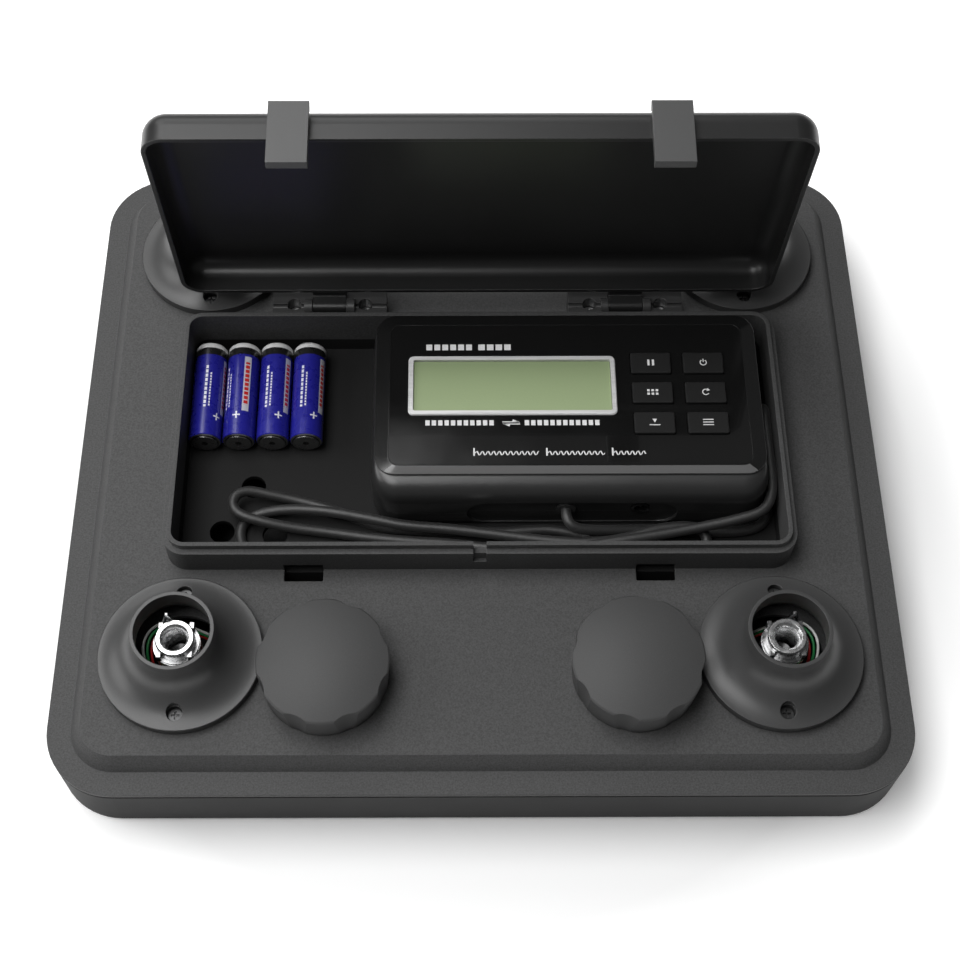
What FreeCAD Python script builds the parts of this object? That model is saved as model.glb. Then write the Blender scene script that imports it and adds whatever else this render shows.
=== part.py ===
"""Platform scale, lying upside down on its weighing deck with its storage compartment open.

Millimetres, +Z up. The origin is the middle of the weighing deck's outer face, which is what the
object lies on. +Y points to the hinged side of the compartment lid, +X to the indicator's end.
"""
import FreeCAD, Part
import math
import os
from types import SimpleNamespace

import Sketcher
from FreeCAD import Placement, Rotation, Vector

# ---------------------------------------------------------------------------------------------
# Driving dimensions: alias, millimetres or degrees, what it is
# ---------------------------------------------------------------------------------------------
DIMENSIONS = [
    ("platform_width", 354.0, "weighing platform, along X"),
    ("platform_depth", 312.0, "weighing platform, along Y"),
    ("platform_corner", 28.5, "corner radius in plan"),
    ("deck_height", 28.4, "deck's side band"),
    ("deck_wall", 3.0, "deck's side band, thickness"),
    ("deck_floor", 4.0, "weighing surface, thickness"),
    ("deck_edge", 2.5, "rounding of the weighing surface's edge"),
    ("parting_gap", 1.2, "shadow gap between deck and cover"),
    ("rim_thickness", 2.0, "cover's outer rim"),
    ("rim_inset", 9.7, "rim's width up to the foot of the step"),
    ("step_height", 6.6, "rise from the rim to the plateau"),
    ("step_run", 4.8, "plan width of the sloping step"),
    ("cover_wall", 2.6, "cover's plate and tub floor"),
    ("skirt_depth", 7.0, "cover's locating skirt"),
    ("skirt_wall", 2.0, "locating skirt, thickness"),
    ("skirt_clearance", 0.4, "skirt to the deck's side band"),
    ("tub_width", 267.0, "compartment, outside, along X"),
    ("tub_depth", 122.0, "compartment, outside, along Y"),
    ("tub_centre", 1.6, "compartment's middle, along Y"),
    ("tub_corner", 10.0, "compartment's outer corner radius"),
    ("tub_floor_top", 29.0, "compartment's floor"),
    ("ledge_rise", 14.8, "ledge above the plateau"),
    ("ledge_width", 2.4, "ledge that the lid closes on"),
    ("lip_rise", 3.2, "lip above the ledge"),
    ("lip_width", 1.8, "lip, thickness"),
    ("notch_width", 5.5, "finger notch in the front wall"),
    ("notch_depth", 10.7, "finger notch below the lip"),
    ("drain_radius", 5.4, "round holes in the compartment's floor"),
    ("foot_across", 123.5, "foot sockets from the middle, along X"),
    ("foot_front", 99.0, "front foot sockets from the middle"),
    ("foot_rear", 104.7, "rear foot sockets from the middle"),
    ("flange_radius", 33.7, "foot housing's flange"),
    ("flange_edge", 4.3, "flange at its edge"),
    ("flare_radius", 17.0, "hollow sweep from flange to neck"),
    ("neck_radius", 16.9, "foot housing's neck, outside"),
    ("neck_wall", 1.5, "foot housing's wall"),
    ("neck_height", 27.3, "foot housing above the plateau"),
    ("housing_hole_circle", 26.5, "housing screws from the socket's axis"),
    ("screw_recess", 3.3, "radius of the recess for a housing screw"),
    ("socket_top", 58.0, "threaded socket's top face"),
    ("socket_radius", 8.0, "threaded socket's ring"),
    ("socket_collar", 1.6, "threaded socket's collar past its ring"),
    ("thread_core", 5.1, "core radius of the M12 thread"),
    ("thread_major", 5.9, "outer radius of the foot's stud"),
    ("cell_length", 60.0, "load cell's beam"),
    ("cell_section", 13.0, "load cell's square section"),
    ("cell_base", 12.0, "load cell's underside"),
    ("knob_radius", 27.1, "foot knob over its lobes"),
    ("knob_height", 21.0, "foot knob"),
    ("knob_skirt", 16.4, "foot knob's skirt"),
    ("knob_bore", 22.4, "inside of the skirt"),
    ("knob_cup", 14.0, "depth inside the skirt"),
    ("grip_radius", 13.0, "radius of a finger recess"),
    ("grip_depth", 1.5, "depth of a finger recess"),
    ("rest_gap", 0.3, "gap under a loose piece"),
    ("hinge_across", 67.5, "lid hinges from the middle, along X"),
    ("hinge_behind", 5.86, "hinge pin behind the compartment's wall"),
    ("hinge_below", 4.2, "hinge pin below the ledge"),
    ("hinge_pin_radius", 1.5, "hinge pin"),
    ("hinge_clearance", 0.05, "lid knuckle's bore to its pin"),
    ("knuckle_width", 15.2, "lid knuckle along its pin"),
    ("knuckle_radius", 3.2, "lid knuckle round its pin"),
    ("bracket_width", 52.0, "hinge bracket along X"),
    ("lid_open", 83.84, "lid's angle from closed, degrees"),
    ("lid_height", 16.5, "lid, outside"),
    ("lid_wall", 2.0, "lid's wall"),
    ("lid_round", 9.5, "rounding of the lid's top edge"),
    ("latch_across", 74.6, "latches from the middle, along X"),
    ("latch_width", 16.0, "latch clip along X"),
    ("latch_stand_off", 1.0, "clip's inner face to the lid's wall"),
    ("latch_thickness", 3.6, "clip's plate"),
    ("latch_above", 15.0, "clip above the lid's rim"),
    ("latch_below", 13.6, "clip past the lid's rim"),
    ("latch_nose", 0.7, "clip's nose, inwards"),
    ("latch_pin_radius", 0.8, "latch's pin"),
    ("slot_width", 16.6, "latch slot in the plateau"),
    ("slot_depth", 5.5, "latch slot, along Y"),
    ("catch_depth", 2.6, "catch recess in the compartment's wall"),
    ("indicator_width", 170.4, "indicator, along X"),
    ("indicator_depth", 91.0, "indicator, along Y"),
    ("indicator_height", 29.6, "indicator up to its cover frame"),
    ("indicator_x", 38.8, "indicator's middle, along X"),
    ("indicator_y", 11.5, "indicator's middle, along Y"),
    ("indicator_corner", 12.0, "indicator's plan corners"),
    ("indicator_wall", 2.2, "indicator's walls"),
    ("lower_height", 11.7, "indicator's lower shell"),
    ("nose_radius", 9.4, "rounded front of the upper shell"),
    ("shoulder", 2.6, "rounding of the upper shell's sides"),
    ("frame_height", 2.7, "cover frame"),
    ("frame_bevel_side", 6.0, "cover frame's bevel, sides and back"),
    ("frame_bevel_front", 2.9, "cover frame's bevel, front"),
    ("panel_thickness", 0.8, "gloss panel"),
    ("display_width", 86.2, "display opening"),
    ("display_depth", 25.9, "display opening"),
    ("display_border", 2.1, "silver display frame"),
    ("display_x", -24.2, "display's middle from the indicator's"),
    ("display_y", 5.9, "display's middle from the indicator's"),
    ("key_width", 17.6, "key, along X"),
    ("key_depth", 10.6, "key, along Y"),
    ("key_pitch_x", 23.0, "keys, along X"),
    ("key_pitch_y", 15.2, "keys, along Y"),
    ("key_x", 48.1, "key block's middle from the indicator's"),
    ("key_y", 1.8, "key block's middle from the indicator's"),
    ("key_rise", 1.2, "key above the gloss panel"),
    ("key_clearance", 0.3, "key to its opening"),
    ("port_length", 90.6, "connector recess along X"),
    ("port_height", 18.0, "connector recess along Z"),
    ("port_depth", 1.2, "connector recess"),
    ("cord_radius", 2.25, "indicator's cord"),
    ("battery_radius", 7.25, "AA cell"),
    ("battery_length", 50.5, "AA cell with its nub"),
    ("battery_pitch", 15.0, "AA cells side by side"),
]

doc = FreeCAD.newDocument("platform_scale")


class Size:
    """A length known as a number and as the spreadsheet expression that gives it."""

    def __init__(self, value, text=None):
        self.value = float(value)
        self.text = text if text is not None else repr(float(value))

    def __add__(self, other):
        other = size(other)
        return Size(self.value + other.value, f"({self.text} + {other.text})")

    def __sub__(self, other):
        other = size(other)
        return Size(self.value - other.value, f"({self.text} - {other.text})")

    def __mul__(self, other):
        other = size(other)
        return Size(self.value * other.value, f"({self.text} * {other.text})")

    def __truediv__(self, other):
        other = size(other)
        return Size(self.value / other.value, f"({self.text} / {other.text})")

    def __neg__(self):
        return Size(-self.value, f"(0 - {self.text})")

    def __radd__(self, other):
        return size(other) + self

    def __rsub__(self, other):
        return size(other) - self

    def __rmul__(self, other):
        return size(other) * self


def size(value):
    """A plain number as a Size."""
    return value if isinstance(value, Size) else Size(value)


def fill_sheet():
    """Put the driving dimensions in the sheet and give them back as named Sizes."""
    sheet = doc.addObject("Spreadsheet::Sheet", "Sizes")
    named = {}
    for row, (alias, value, note) in enumerate(DIMENSIONS, start=1):
        sheet.set(f"A{row}", note)
        sheet.set(f"B{row}", str(value))
        sheet.setAlias(f"B{row}", alias)
        named[alias] = Size(value, f"Sizes.{alias}")
    doc.recompute()
    return SimpleNamespace(**named)


s = fill_sheet()
NODES = []


def bind(thing, prop, value):
    """Tie a property to a sheet expression."""
    thing.setExpression(prop, size(value).text)


def node(thing, name):
    """Make an object a sub-part: its Label is the name of its file."""
    thing.Label = name
    NODES.append(thing)
    return thing


def place(thing, x=0.0, y=0.0, z=0.0, axis=None, angle=None):
    """Bind a sub-part's Placement, with an optional turn about an axis."""
    if axis is not None:
        thing.Placement = Placement(Vector(), Rotation(axis, size(angle).value))
        bind(thing, "Placement.Rotation.Angle", angle)
    for letter, value in zip("xyz", (x, y, z)):
        bind(thing, f"Placement.Base.{letter}", value)
    return thing


# ---------------------------------------------------------------------------------------------
# Sketches
# ---------------------------------------------------------------------------------------------
def new_body(name):
    """A PartDesign body that is a sub-part of its own."""
    body = doc.addObject("PartDesign::Body", name)
    body.AllowCompound = True
    return node(body, name)


def sketch_on(body, role, offset):
    """A sketch on one of the body's origin planes, lifted off it by a bound offset."""
    sketch = body.newObject("Sketcher::SketchObject", "Sketch")
    plane = next(f for f in body.Origin.OriginFeatures if f.Role == role)
    sketch.AttachmentSupport = [(plane, "")]
    sketch.MapMode = "FlatFace"
    bind(sketch, "AttachmentOffset.Base.z", offset)
    return sketch


def hold_along(sketch, kind, geometry, end, value):
    """Hold one coordinate of a point. A coordinate of zero is a point on the sketch's own axis."""
    value = size(value)
    if value.value == 0.0:
        axis = -2 if kind == "DistanceX" else -1
        sketch.addConstraint(Sketcher.Constraint("PointOnObject", geometry, end, axis))
    else:
        rule = sketch.addConstraint(Sketcher.Constraint(kind, -1, 1, geometry, end, value.value))
        bind(sketch, f"Constraints[{rule}]", value)


def pin_point(sketch, geometry, end, x, y):
    """Hold a point at a bound place."""
    hold_along(sketch, "DistanceX", geometry, end, x)
    hold_along(sketch, "DistanceY", geometry, end, y)


def dimension(sketch, kind, geometry, value):
    """A bound radius."""
    rule = sketch.addConstraint(Sketcher.Constraint(kind, geometry, size(value).value))
    bind(sketch, f"Constraints[{rule}]", value)


def arc(x, y, radius, start, end):
    """An arc of a circle between two angles in degrees."""
    circle = Part.Circle(Vector(x, y, 0), Vector(0, 0, 1), radius)
    return Part.ArcOfCircle(circle, math.radians(start), math.radians(end))


def rounded(sketch, x0, x1, y0, y1, radius):
    """A rectangle with round corners, between four bound edges."""
    x0, x1, y0, y1, radius = (size(v) for v in (x0, x1, y0, y1, radius))
    a, b, c, d, r = (v.value for v in (x0, x1, y0, y1, radius))
    sides = [
        Part.LineSegment(Vector(a + r, c, 0), Vector(b - r, c, 0)),
        arc(b - r, c + r, r, 270, 360),
        Part.LineSegment(Vector(b, c + r, 0), Vector(b, d - r, 0)),
        arc(b - r, d - r, r, 0, 90),
        Part.LineSegment(Vector(b - r, d, 0), Vector(a + r, d, 0)),
        arc(a + r, d - r, r, 90, 180),
        Part.LineSegment(Vector(a, d - r, 0), Vector(a, c + r, 0)),
        arc(a + r, c + r, r, 180, 270),
    ]
    first = sketch.addGeometry(sides, False)[0]
    rules = [Sketcher.Constraint("Tangent", first + i, 2, first + (i + 1) % 8, 1) for i in range(8)]
    rules += [Sketcher.Constraint("Horizontal", first + i) for i in (0, 4)]
    rules += [Sketcher.Constraint("Vertical", first + i) for i in (2, 6)]
    rules += [Sketcher.Constraint("Equal", first + 1, first + i) for i in (3, 5, 7)]
    sketch.addConstraint(rules)
    dimension(sketch, "Radius", first + 1, radius)
    for kind, side, value in (("DistanceX", 6, x0), ("DistanceX", 2, x1),
                              ("DistanceY", 0, y0), ("DistanceY", 4, y1)):
        rule = sketch.addConstraint(Sketcher.Constraint(kind, -1, 1, first + side, 1, value.value))
        bind(sketch, f"Constraints[{rule}]", value)


def circles(sketch, centres, radius):
    """Circles of one bound radius round bound centres."""
    for x, y in centres:
        x, y = size(x), size(y)
        circle = Part.Circle(Vector(x.value, y.value, 0), Vector(0, 0, 1), size(radius).value)
        index = sketch.addGeometry(circle, False)
        pin_point(sketch, index, 3, x, y)
        dimension(sketch, "Radius", index, radius)


def outline(sketch, corners):
    """A closed outline of lines and arcs.

    A corner is (x, y), or (x, y, radius) when an arc leads to the next corner: anticlockwise for
    a positive radius, clockwise for a negative one.
    """
    corners = [tuple(size(v) for v in corner) for corner in corners]
    starts, ends = [], []
    for here, there in zip(corners, corners[1:] + corners[:1]):
        p = Vector(here[0].value, here[1].value, 0)
        q = Vector(there[0].value, there[1].value, 0)
        if len(here) == 2:
            index = sketch.addGeometry(Part.LineSegment(p, q), False)
            starts.append((index, 1))
            ends.append((index, 2))
            continue
        radius = here[2].value
        chord = q - p
        middle = (p + q) * 0.5
        left = Vector(-chord.y, chord.x, 0) / chord.Length
        rise = math.sqrt(max(radius ** 2 - (chord.Length / 2) ** 2, 0.0))
        centre = middle + left * math.copysign(rise, radius)
        first, last = (p, q) if radius > 0 else (q, p)
        angles = [math.degrees(math.atan2(v.y - centre.y, v.x - centre.x)) for v in (first, last)]
        if angles[1] < angles[0]:
            angles[1] += 360
        index = sketch.addGeometry(arc(centre.x, centre.y, abs(radius), *angles), False)
        starts.append((index, 1 if radius > 0 else 2))
        ends.append((index, 2 if radius > 0 else 1))
        if rise < 1e-6:
            upright = abs(chord.y) > abs(chord.x)
            across = (here[0] + there[0]) / 2 if upright else (here[1] + there[1]) / 2
            hold_along(sketch, "DistanceX" if upright else "DistanceY", index, 3, across)
        else:
            dimension(sketch, "Radius", index, here[2] if radius > 0 else -here[2])
    for i, corner in enumerate(corners):
        before = ends[i - 1]
        sketch.addConstraint(Sketcher.Constraint("Coincident", *before, *starts[i]))
        pin_point(sketch, *starts[i], corner[0], corner[1])


# ---------------------------------------------------------------------------------------------
# Features
# ---------------------------------------------------------------------------------------------
def feature(body, kind, sketch, **bound):
    """A PartDesign feature on a sketch, with bound properties."""
    thing = body.newObject(f"PartDesign::{kind}", kind)
    thing.Profile = sketch
    for prop, value in bound.items():
        bind(thing, prop, value)
    body.Tip = thing
    return thing


def slab(body, z0, z1, x0, x1, y0, y1, radius):
    """Add a plate with round corners between two heights."""
    sketch = sketch_on(body, "XY_Plane", z0)
    rounded(sketch, x0, x1, y0, y1, radius)
    return feature(body, "Pad", sketch, Length=size(z1) - z0)


def recess(body, z1, z0, x0, x1, y0, y1, radius):
    """Cut a pocket with round corners from z1 down to z0."""
    sketch = sketch_on(body, "XY_Plane", z1)
    rounded(sketch, x0, x1, y0, y1, radius)
    return feature(body, "Pocket", sketch, Length=size(z1) - z0)


def posts(body, z0, z1, centres, radius):
    """Add round posts between two heights."""
    sketch = sketch_on(body, "XY_Plane", z0)
    circles(sketch, centres, radius)
    return feature(body, "Pad", sketch, Length=size(z1) - z0)


def bores(body, z1, z0, centres, radius):
    """Cut round holes from z1 down to z0."""
    sketch = sketch_on(body, "XY_Plane", z1)
    circles(sketch, centres, radius)
    return feature(body, "Pocket", sketch, Length=size(z1) - z0)


def extrude_x(body, x0, x1, corners):
    """Add an outline in Y and Z, drawn along X from x0 to x1."""
    sketch = sketch_on(body, "YZ_Plane", x0)
    outline(sketch, corners)
    return feature(body, "Pad", sketch, Length=size(x1) - x0)


def bore_x(body, x0, x1, y, z, radius):
    """Cut a round hole along X from x0 to x1."""
    sketch = sketch_on(body, "YZ_Plane", x1)
    circles(sketch, [(y, z)], radius)
    return feature(body, "Pocket", sketch, Length=size(x1) - x0)


def bore_y(body, y0, y1, x, z, radius):
    """Cut a round hole along Y from y0, the front, to y1."""
    sketch = sketch_on(body, "XZ_Plane", -size(y0))
    circles(sketch, [(x, z)], radius)
    return feature(body, "Pocket", sketch, Length=size(y1) - y0)


def loft(body, kind, sections, ruled=False):
    """A loft through rounded rectangles, each given as (z, x0, x1, y0, y1, radius)."""
    sketches = []
    for z, *edges in sections:
        sketch = sketch_on(body, "XY_Plane", z)
        rounded(sketch, *edges)
        sketches.append(sketch)
    thing = body.newObject(f"PartDesign::{kind}", kind)
    thing.Profile = sketches[0]
    thing.Sections = sketches[1:]
    thing.Ruled = ruled
    body.Tip = thing
    return thing


def spin(body, corners):
    """Add a solid of revolution about Z from an outline in radius and height."""
    sketch = sketch_on(body, "XZ_Plane", 0.0)
    outline(sketch, corners)
    thing = body.newObject("PartDesign::Revolution", "Revolution")
    thing.Profile = sketch
    thing.ReferenceAxis = (sketch, ["V_Axis"])
    thing.Angle = 360
    body.Tip = thing
    return thing


def edges_at(shape, z):
    """Names of the edges that lie at one height."""
    names = []
    for index, edge in enumerate(shape.Edges, start=1):
        box = edge.BoundBox
        if abs(box.ZMin - z) < 1e-4 and abs(box.ZMax - z) < 1e-4:
            names.append(f"Edge{index}")
    return names


def soften(body, kind, names, amount):
    """Fillet or chamfer named edges of the body's last feature."""
    base = body.Tip
    thing = body.newObject(f"PartDesign::{kind}", kind)
    thing.Base = (base, names)
    bind(thing, "Radius" if kind == "Fillet" else "Size", amount)
    body.Tip = thing
    return thing


def hollow(body, z, wall):
    """Hollow the body to a wall, open at the face that lies at one height."""
    base = body.Tip
    faces = [f"Face{i}" for i, face in enumerate(base.Shape.Faces, start=1)
             if abs(face.BoundBox.ZMin - z) < 1e-4 and abs(face.BoundBox.ZMax - z) < 1e-4]
    thing = body.newObject("PartDesign::Thickness", "Thickness")
    thing.Base = (base, faces)
    thing.Reversed = True
    bind(thing, "Value", wall)
    body.Tip = thing
    return thing


def cylinder(name, radius, height, x, y, z, axis=None, angle=None):
    """A Part cylinder with bound sizes and place."""
    thing = doc.addObject("Part::Cylinder", name)
    bind(thing, "Radius", radius)
    bind(thing, "Height", height)
    return place(thing, x, y, z, axis, angle)


def fuse(name, shapes):
    """One solid from several."""
    thing = doc.addObject("Part::MultiFuse", name)
    thing.Shapes = shapes
    return thing


def cut(name, base, tool):
    """One solid less another."""
    thing = doc.addObject("Part::Cut", name)
    thing.Base = base
    thing.Tool = tool
    return thing


def group(name, shapes):
    """A sub-part made of several separate, alike solids."""
    thing = doc.addObject("Part::Compound", name)
    thing.Links = shapes
    return node(thing, name)


def screw(name, x, y, under_head, shank, length, head, head_height, upward=False):
    """A pan-head screw with a cross recess. It points down, or up when it is driven from below."""
    sign = -1.0 if upward else 1.0
    low = size(under_head) - length * sign if not upward else size(under_head)
    rod = cylinder(f"{name}_rod", shank, length, x, y, low)
    base = size(under_head) if not upward else size(under_head) - head_height
    cap = cylinder(f"{name}_cap", head, head_height, x, y, base)
    blank = fuse(f"{name}_blank", [rod, cap])
    arms = []
    arm_length, arm_width, arm_depth = head * 1.2, head * 0.28, head_height * 0.6
    for long_side, short_side, tag in ((arm_length, arm_width, "a"), (arm_width, arm_length, "b")):
        box = doc.addObject("Part::Box", f"{name}_{tag}")
        bind(box, "Length", long_side)
        bind(box, "Width", short_side)
        bind(box, "Height", arm_depth)
        floor = base + (head_height - arm_depth) if not upward else base
        place(box, size(x) - long_side / 2, size(y) - short_side / 2, floor)
        arms.append(box)
    return cut(name, blank, fuse(f"{name}_cross", arms))


# ---------------------------------------------------------------------------------------------
# Derived places
# ---------------------------------------------------------------------------------------------
half_width = s.platform_width / 2
half_depth = s.platform_depth / 2
rim_bottom = s.deck_height + s.parting_gap
rim_top = rim_bottom + s.rim_thickness
plateau = rim_top + s.step_height
plate_under = plateau - s.cover_wall
ledge = plateau + s.ledge_rise
lip_top = ledge + s.lip_rise
tub_half = s.tub_width / 2
tub_front = s.tub_centre - s.tub_depth / 2
tub_back = s.tub_centre + s.tub_depth / 2
tub_wall = s.ledge_width + s.lip_width
hinge_y = tub_back + s.hinge_behind
hinge_z = ledge - s.hinge_below

CORNERS = {
    "front_left": (-s.foot_across, -s.foot_front, -1),
    "front_right": (s.foot_across, -s.foot_front, 1),
    "rear_left": (-s.foot_across, s.foot_rear, -1),
    "rear_right": (s.foot_across, s.foot_rear, 1),
}


def plan(inset):
    """The platform's four edges, moved inwards."""
    return (-(half_width - inset), half_width - inset, -(half_depth - inset), half_depth - inset)


def tub_plan(inset):
    """The compartment's four edges, moved inwards."""
    return (-(tub_half - inset), tub_half - inset, tub_front + inset, tub_back - inset)


def housing_holes():
    """Centres of the eight housing screws."""
    return [(x, y + side * s.housing_hole_circle)
            for x, y, _ in CORNERS.values() for side in (-1, 1)]


# ---------------------------------------------------------------------------------------------
# Platform
# ---------------------------------------------------------------------------------------------
def platform_deck():
    """The weighing deck: a shallow tray with posts for the cover's screws and stiffening ribs."""
    body = new_body("platform_deck")
    slab(body, 0.0, s.deck_height, *plan(0.0), s.platform_corner)
    doc.recompute()
    soften(body, "Fillet", edges_at(body.Shape, 0.0), s.deck_edge)
    recess(body, s.deck_height, s.deck_floor, *plan(s.deck_wall), s.platform_corner - s.deck_wall)
    rib, rib_height = 2.0, 4.0
    for x in (-42.0, 0.0, 42.0):
        slab(body, s.deck_floor, s.deck_floor + rib_height, x - rib / 2, x + rib / 2,
             -(half_depth - s.deck_wall - 78.0), half_depth - s.deck_wall - 8.0, 0.6)
    for y in (-50.0, 8.0, 66.0):
        slab(body, s.deck_floor, s.deck_floor + rib_height, -(half_width - s.deck_wall - 8.0),
             half_width - s.deck_wall - 8.0, y - rib / 2, y + rib / 2, 0.6)
    posts(body, s.deck_floor, plate_under, housing_holes(), 4.2)
    bores(body, plate_under, plate_under - 14.0, housing_holes(), 1.8)


def bottom_cover():
    """The underside cover, which carries the storage compartment."""
    body = new_body("bottom_cover")
    skirt = s.deck_wall + s.skirt_clearance
    slab(body, rim_bottom, rim_top, *plan(0.0), s.platform_corner)
    slab(body, rim_bottom - s.skirt_depth, rim_bottom, *plan(skirt), s.platform_corner - skirt)
    loft(body, "AdditiveLoft", [
        (rim_top, *plan(s.rim_inset), s.platform_corner - s.rim_inset),
        (plateau, *plan(s.rim_inset + s.step_run), s.platform_corner - s.rim_inset - s.step_run),
    ], ruled=True)
    inner = skirt + s.skirt_wall
    recess(body, rim_bottom, rim_bottom - s.skirt_depth, *plan(inner), s.platform_corner - inner)
    wall = s.cover_wall
    loft(body, "SubtractiveLoft", [
        (rim_bottom, *plan(s.rim_inset + wall), s.platform_corner - s.rim_inset - wall),
        (plate_under, *plan(s.rim_inset + s.step_run + wall),
         s.platform_corner - s.rim_inset - s.step_run - wall),
    ], ruled=True)
    slab(body, s.tub_floor_top - wall, ledge, *tub_plan(0.0), s.tub_corner)
    slab(body, ledge, lip_top, *tub_plan(s.ledge_width), s.tub_corner - s.ledge_width)
    recess(body, lip_top, s.tub_floor_top, *tub_plan(tub_wall), s.tub_corner - tub_wall)
    for side in (-1, 1):
        middle = side * s.latch_across
        recess(body, plateau + 4.3, plate_under, middle - s.slot_width / 2,
               middle + s.slot_width / 2, tub_front - s.slot_depth, tub_front + s.catch_depth, 0.6)
    half_notch = s.notch_width / 2
    recess(body, lip_top, lip_top - s.notch_depth, -half_notch, half_notch,
           tub_front - 2.0, tub_front + 1.6, 0.4)
    recess(body, lip_top, ledge - 2.4, -half_notch, half_notch,
           tub_front - 2.0, tub_front + tub_wall + 2.0, 0.4)
    drains = [(-99.5, -14.4), (-112.0, -36.7), (-88.9, -38.2)]
    bores(body, s.tub_floor_top, s.tub_floor_top - wall, drains, s.drain_radius)
    sockets = [(x, y) for x, y, _ in CORNERS.values()]
    bores(body, plateau, plate_under, sockets, s.neck_radius + 1.5)
    bores(body, plateau, plate_under, housing_holes(), 2.2)
    bores(body, plateau, plate_under, hinge_screw_places(), 1.2)
    bore_y(body, tub_front, tub_front + tub_wall, GROMMET[0], GROMMET[2], GROMMET_RADIUS)


def hinge_screw_places():
    """Centres of the four hinge screws."""
    return [(side * s.hinge_across + step * 16.2, hinge_y + 0.9)
            for side in (-1, 1) for step in (-1, 1)]


def foot_housing(name, x, y):
    """A bell-shaped housing round a foot socket, held by two deep-set screws."""
    body = new_body(f"foot_housing_{name}")
    edge, flare, wall = s.flange_edge, s.flare_radius, s.neck_wall
    inner = s.neck_radius - wall
    spin(body, [
        (s.flange_radius, 0.0),
        (s.flange_radius, edge),
        (s.neck_radius + flare, edge, -flare),
        (s.neck_radius, edge + flare),
        (s.neck_radius, s.neck_height),
        (inner, s.neck_height),
        (inner, edge + flare, flare + wall),
        (s.flange_radius - 3.0, 3.0),
        (s.flange_radius - 3.0, 0.0),
    ])
    holes = [(0.0, side * s.housing_hole_circle) for side in (-1, 1)]
    posts(body, 0.0, edge, holes, s.screw_recess + 1.3)
    bores(body, s.neck_height, 0.9, holes, s.screw_recess)
    bores(body, 0.9, 0.0, holes, 1.9)
    place(body, x, y, plateau)


def load_cell(name, x, y, side):
    """An aluminium bending beam with its two joined strain holes."""
    body = new_body(f"load_cell_{name}")
    half = s.cell_section / 2
    overhang = 9.5
    slab(body, 0.0, s.cell_section, -overhang, s.cell_length - overhang, -half, half, 0.5)
    waist = s.cell_length / 2 - overhang
    for centre in (waist - 5.5, waist + 5.5):
        bore_y(body, -half, half, centre, half, 4.6)
    sketch = sketch_on(body, "XZ_Plane", half)
    rounded(sketch, waist - 5.5, waist + 5.5, half - 1.5, half + 1.5, 0.4)
    feature(body, "Pocket", sketch, Length=s.cell_section)
    bores(body, s.cell_section, 0.0, cell_bolts(), 2.1)
    bores(body, s.cell_section, 0.0, [(0.0, 0.0)], 4.0)
    place(body, x, y, s.cell_base, Vector(0, 0, 1), 0.0 if side < 0 else 180.0)


def cell_bolts():
    """Bolt places at the load cell's fixed end, in its own frame."""
    return [(s.cell_length - 9.5 - 6.0, 0.0), (s.cell_length - 9.5 - 18.0, 0.0)]


def cell_bracket(name, x, y, side):
    """The steel pad that lifts a load cell's fixed end off the deck."""
    far = s.cell_length - 9.5
    parts = []
    for tag, length, width, low, high in (("foot", 32.0, 26.0, s.deck_floor, s.deck_floor + 3.0),
                                          ("pad", 24.0, 13.0, s.deck_floor + 3.0, s.cell_base)):
        box = doc.addObject("Part::Box", f"bracket_{tag}_{name}")
        bind(box, "Length", length)
        bind(box, "Width", width)
        bind(box, "Height", high - low)
        start = x + (far - 24.0 - (length - 24.0) / 2 if side < 0 else -(far + (length - 24.0) / 2))
        place(box, start, y - width / 2, low)
        parts.append(box)
    return fuse(f"bracket_{name}", parts)


def socket_nut(name, x, y):
    """The threaded socket on a load cell's free end, which takes a foot's stud."""
    body = new_body(f"socket_nut_{name}")
    base = s.cell_base + s.cell_section
    height = s.socket_top - base
    ring = 6.5
    spigot = 6.0
    spin(body, [
        (0.0, -spigot),
        (3.9, -spigot),
        (3.9, 0.0),
        (s.socket_radius + s.socket_collar, 0.0),
        (s.socket_radius + s.socket_collar, height - ring),
        (s.socket_radius, height - ring),
        (s.socket_radius, height - 0.5),
        (s.socket_radius - 0.5, height),
        (s.thread_core + 0.9, height),
        (s.thread_core, height - 0.9),
        (s.thread_core, height - 18.0),
        (0.0, height - 20.0),
    ])
    place(body, x, y, base)


def socket_plate(name, x, y, side):
    """The pressed steel plate round a threaded socket, with four prongs and a bent-up ear."""
    top = s.socket_top - 6.5
    thickness = 1.2
    disc = cylinder(f"plate_disc_{name}", s.socket_radius + 1.4, thickness, x, y, top)
    solids = [disc]
    for i, (dx, dy) in enumerate(((-1, -1), (1, -1), (-1, 1), (1, 1))):
        prong = doc.addObject("Part::Box", f"plate_prong_{name}_{i}")
        bind(prong, "Length", 1.8)
        bind(prong, "Width", 2.6)
        bind(prong, "Height", 4.4)
        place(prong, x + dx * 6.3 - 0.9, y + dy * 6.3 - 1.3, top)
        solids.append(prong)
    ear = doc.addObject("Part::Wedge", f"plate_ear_{name}")
    for prop, value in dict(Xmin=0, Ymin=0, Zmin=0, X2min=3.4, Z2min=0, Xmax=8, Ymax=11,
                            Zmax=1, X2max=4.4, Z2max=1).items():
        setattr(ear, prop, value)
    ear.Placement = Placement(Vector(), Rotation(Vector(1, 0, 0), 90))
    for letter, value in zip("xyz", (x + side * 3.2 - 4.0, y + 8.8, top)):
        bind(ear, f"Placement.Base.{letter}", value)
    solids.append(ear)
    blank = fuse(f"plate_blank_{name}", solids)
    hole = cylinder(f"plate_hole_{name}", s.socket_radius, 20.0, x, y, top - 5.0)
    return cut(f"plate_{name}", blank, hole)


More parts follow.
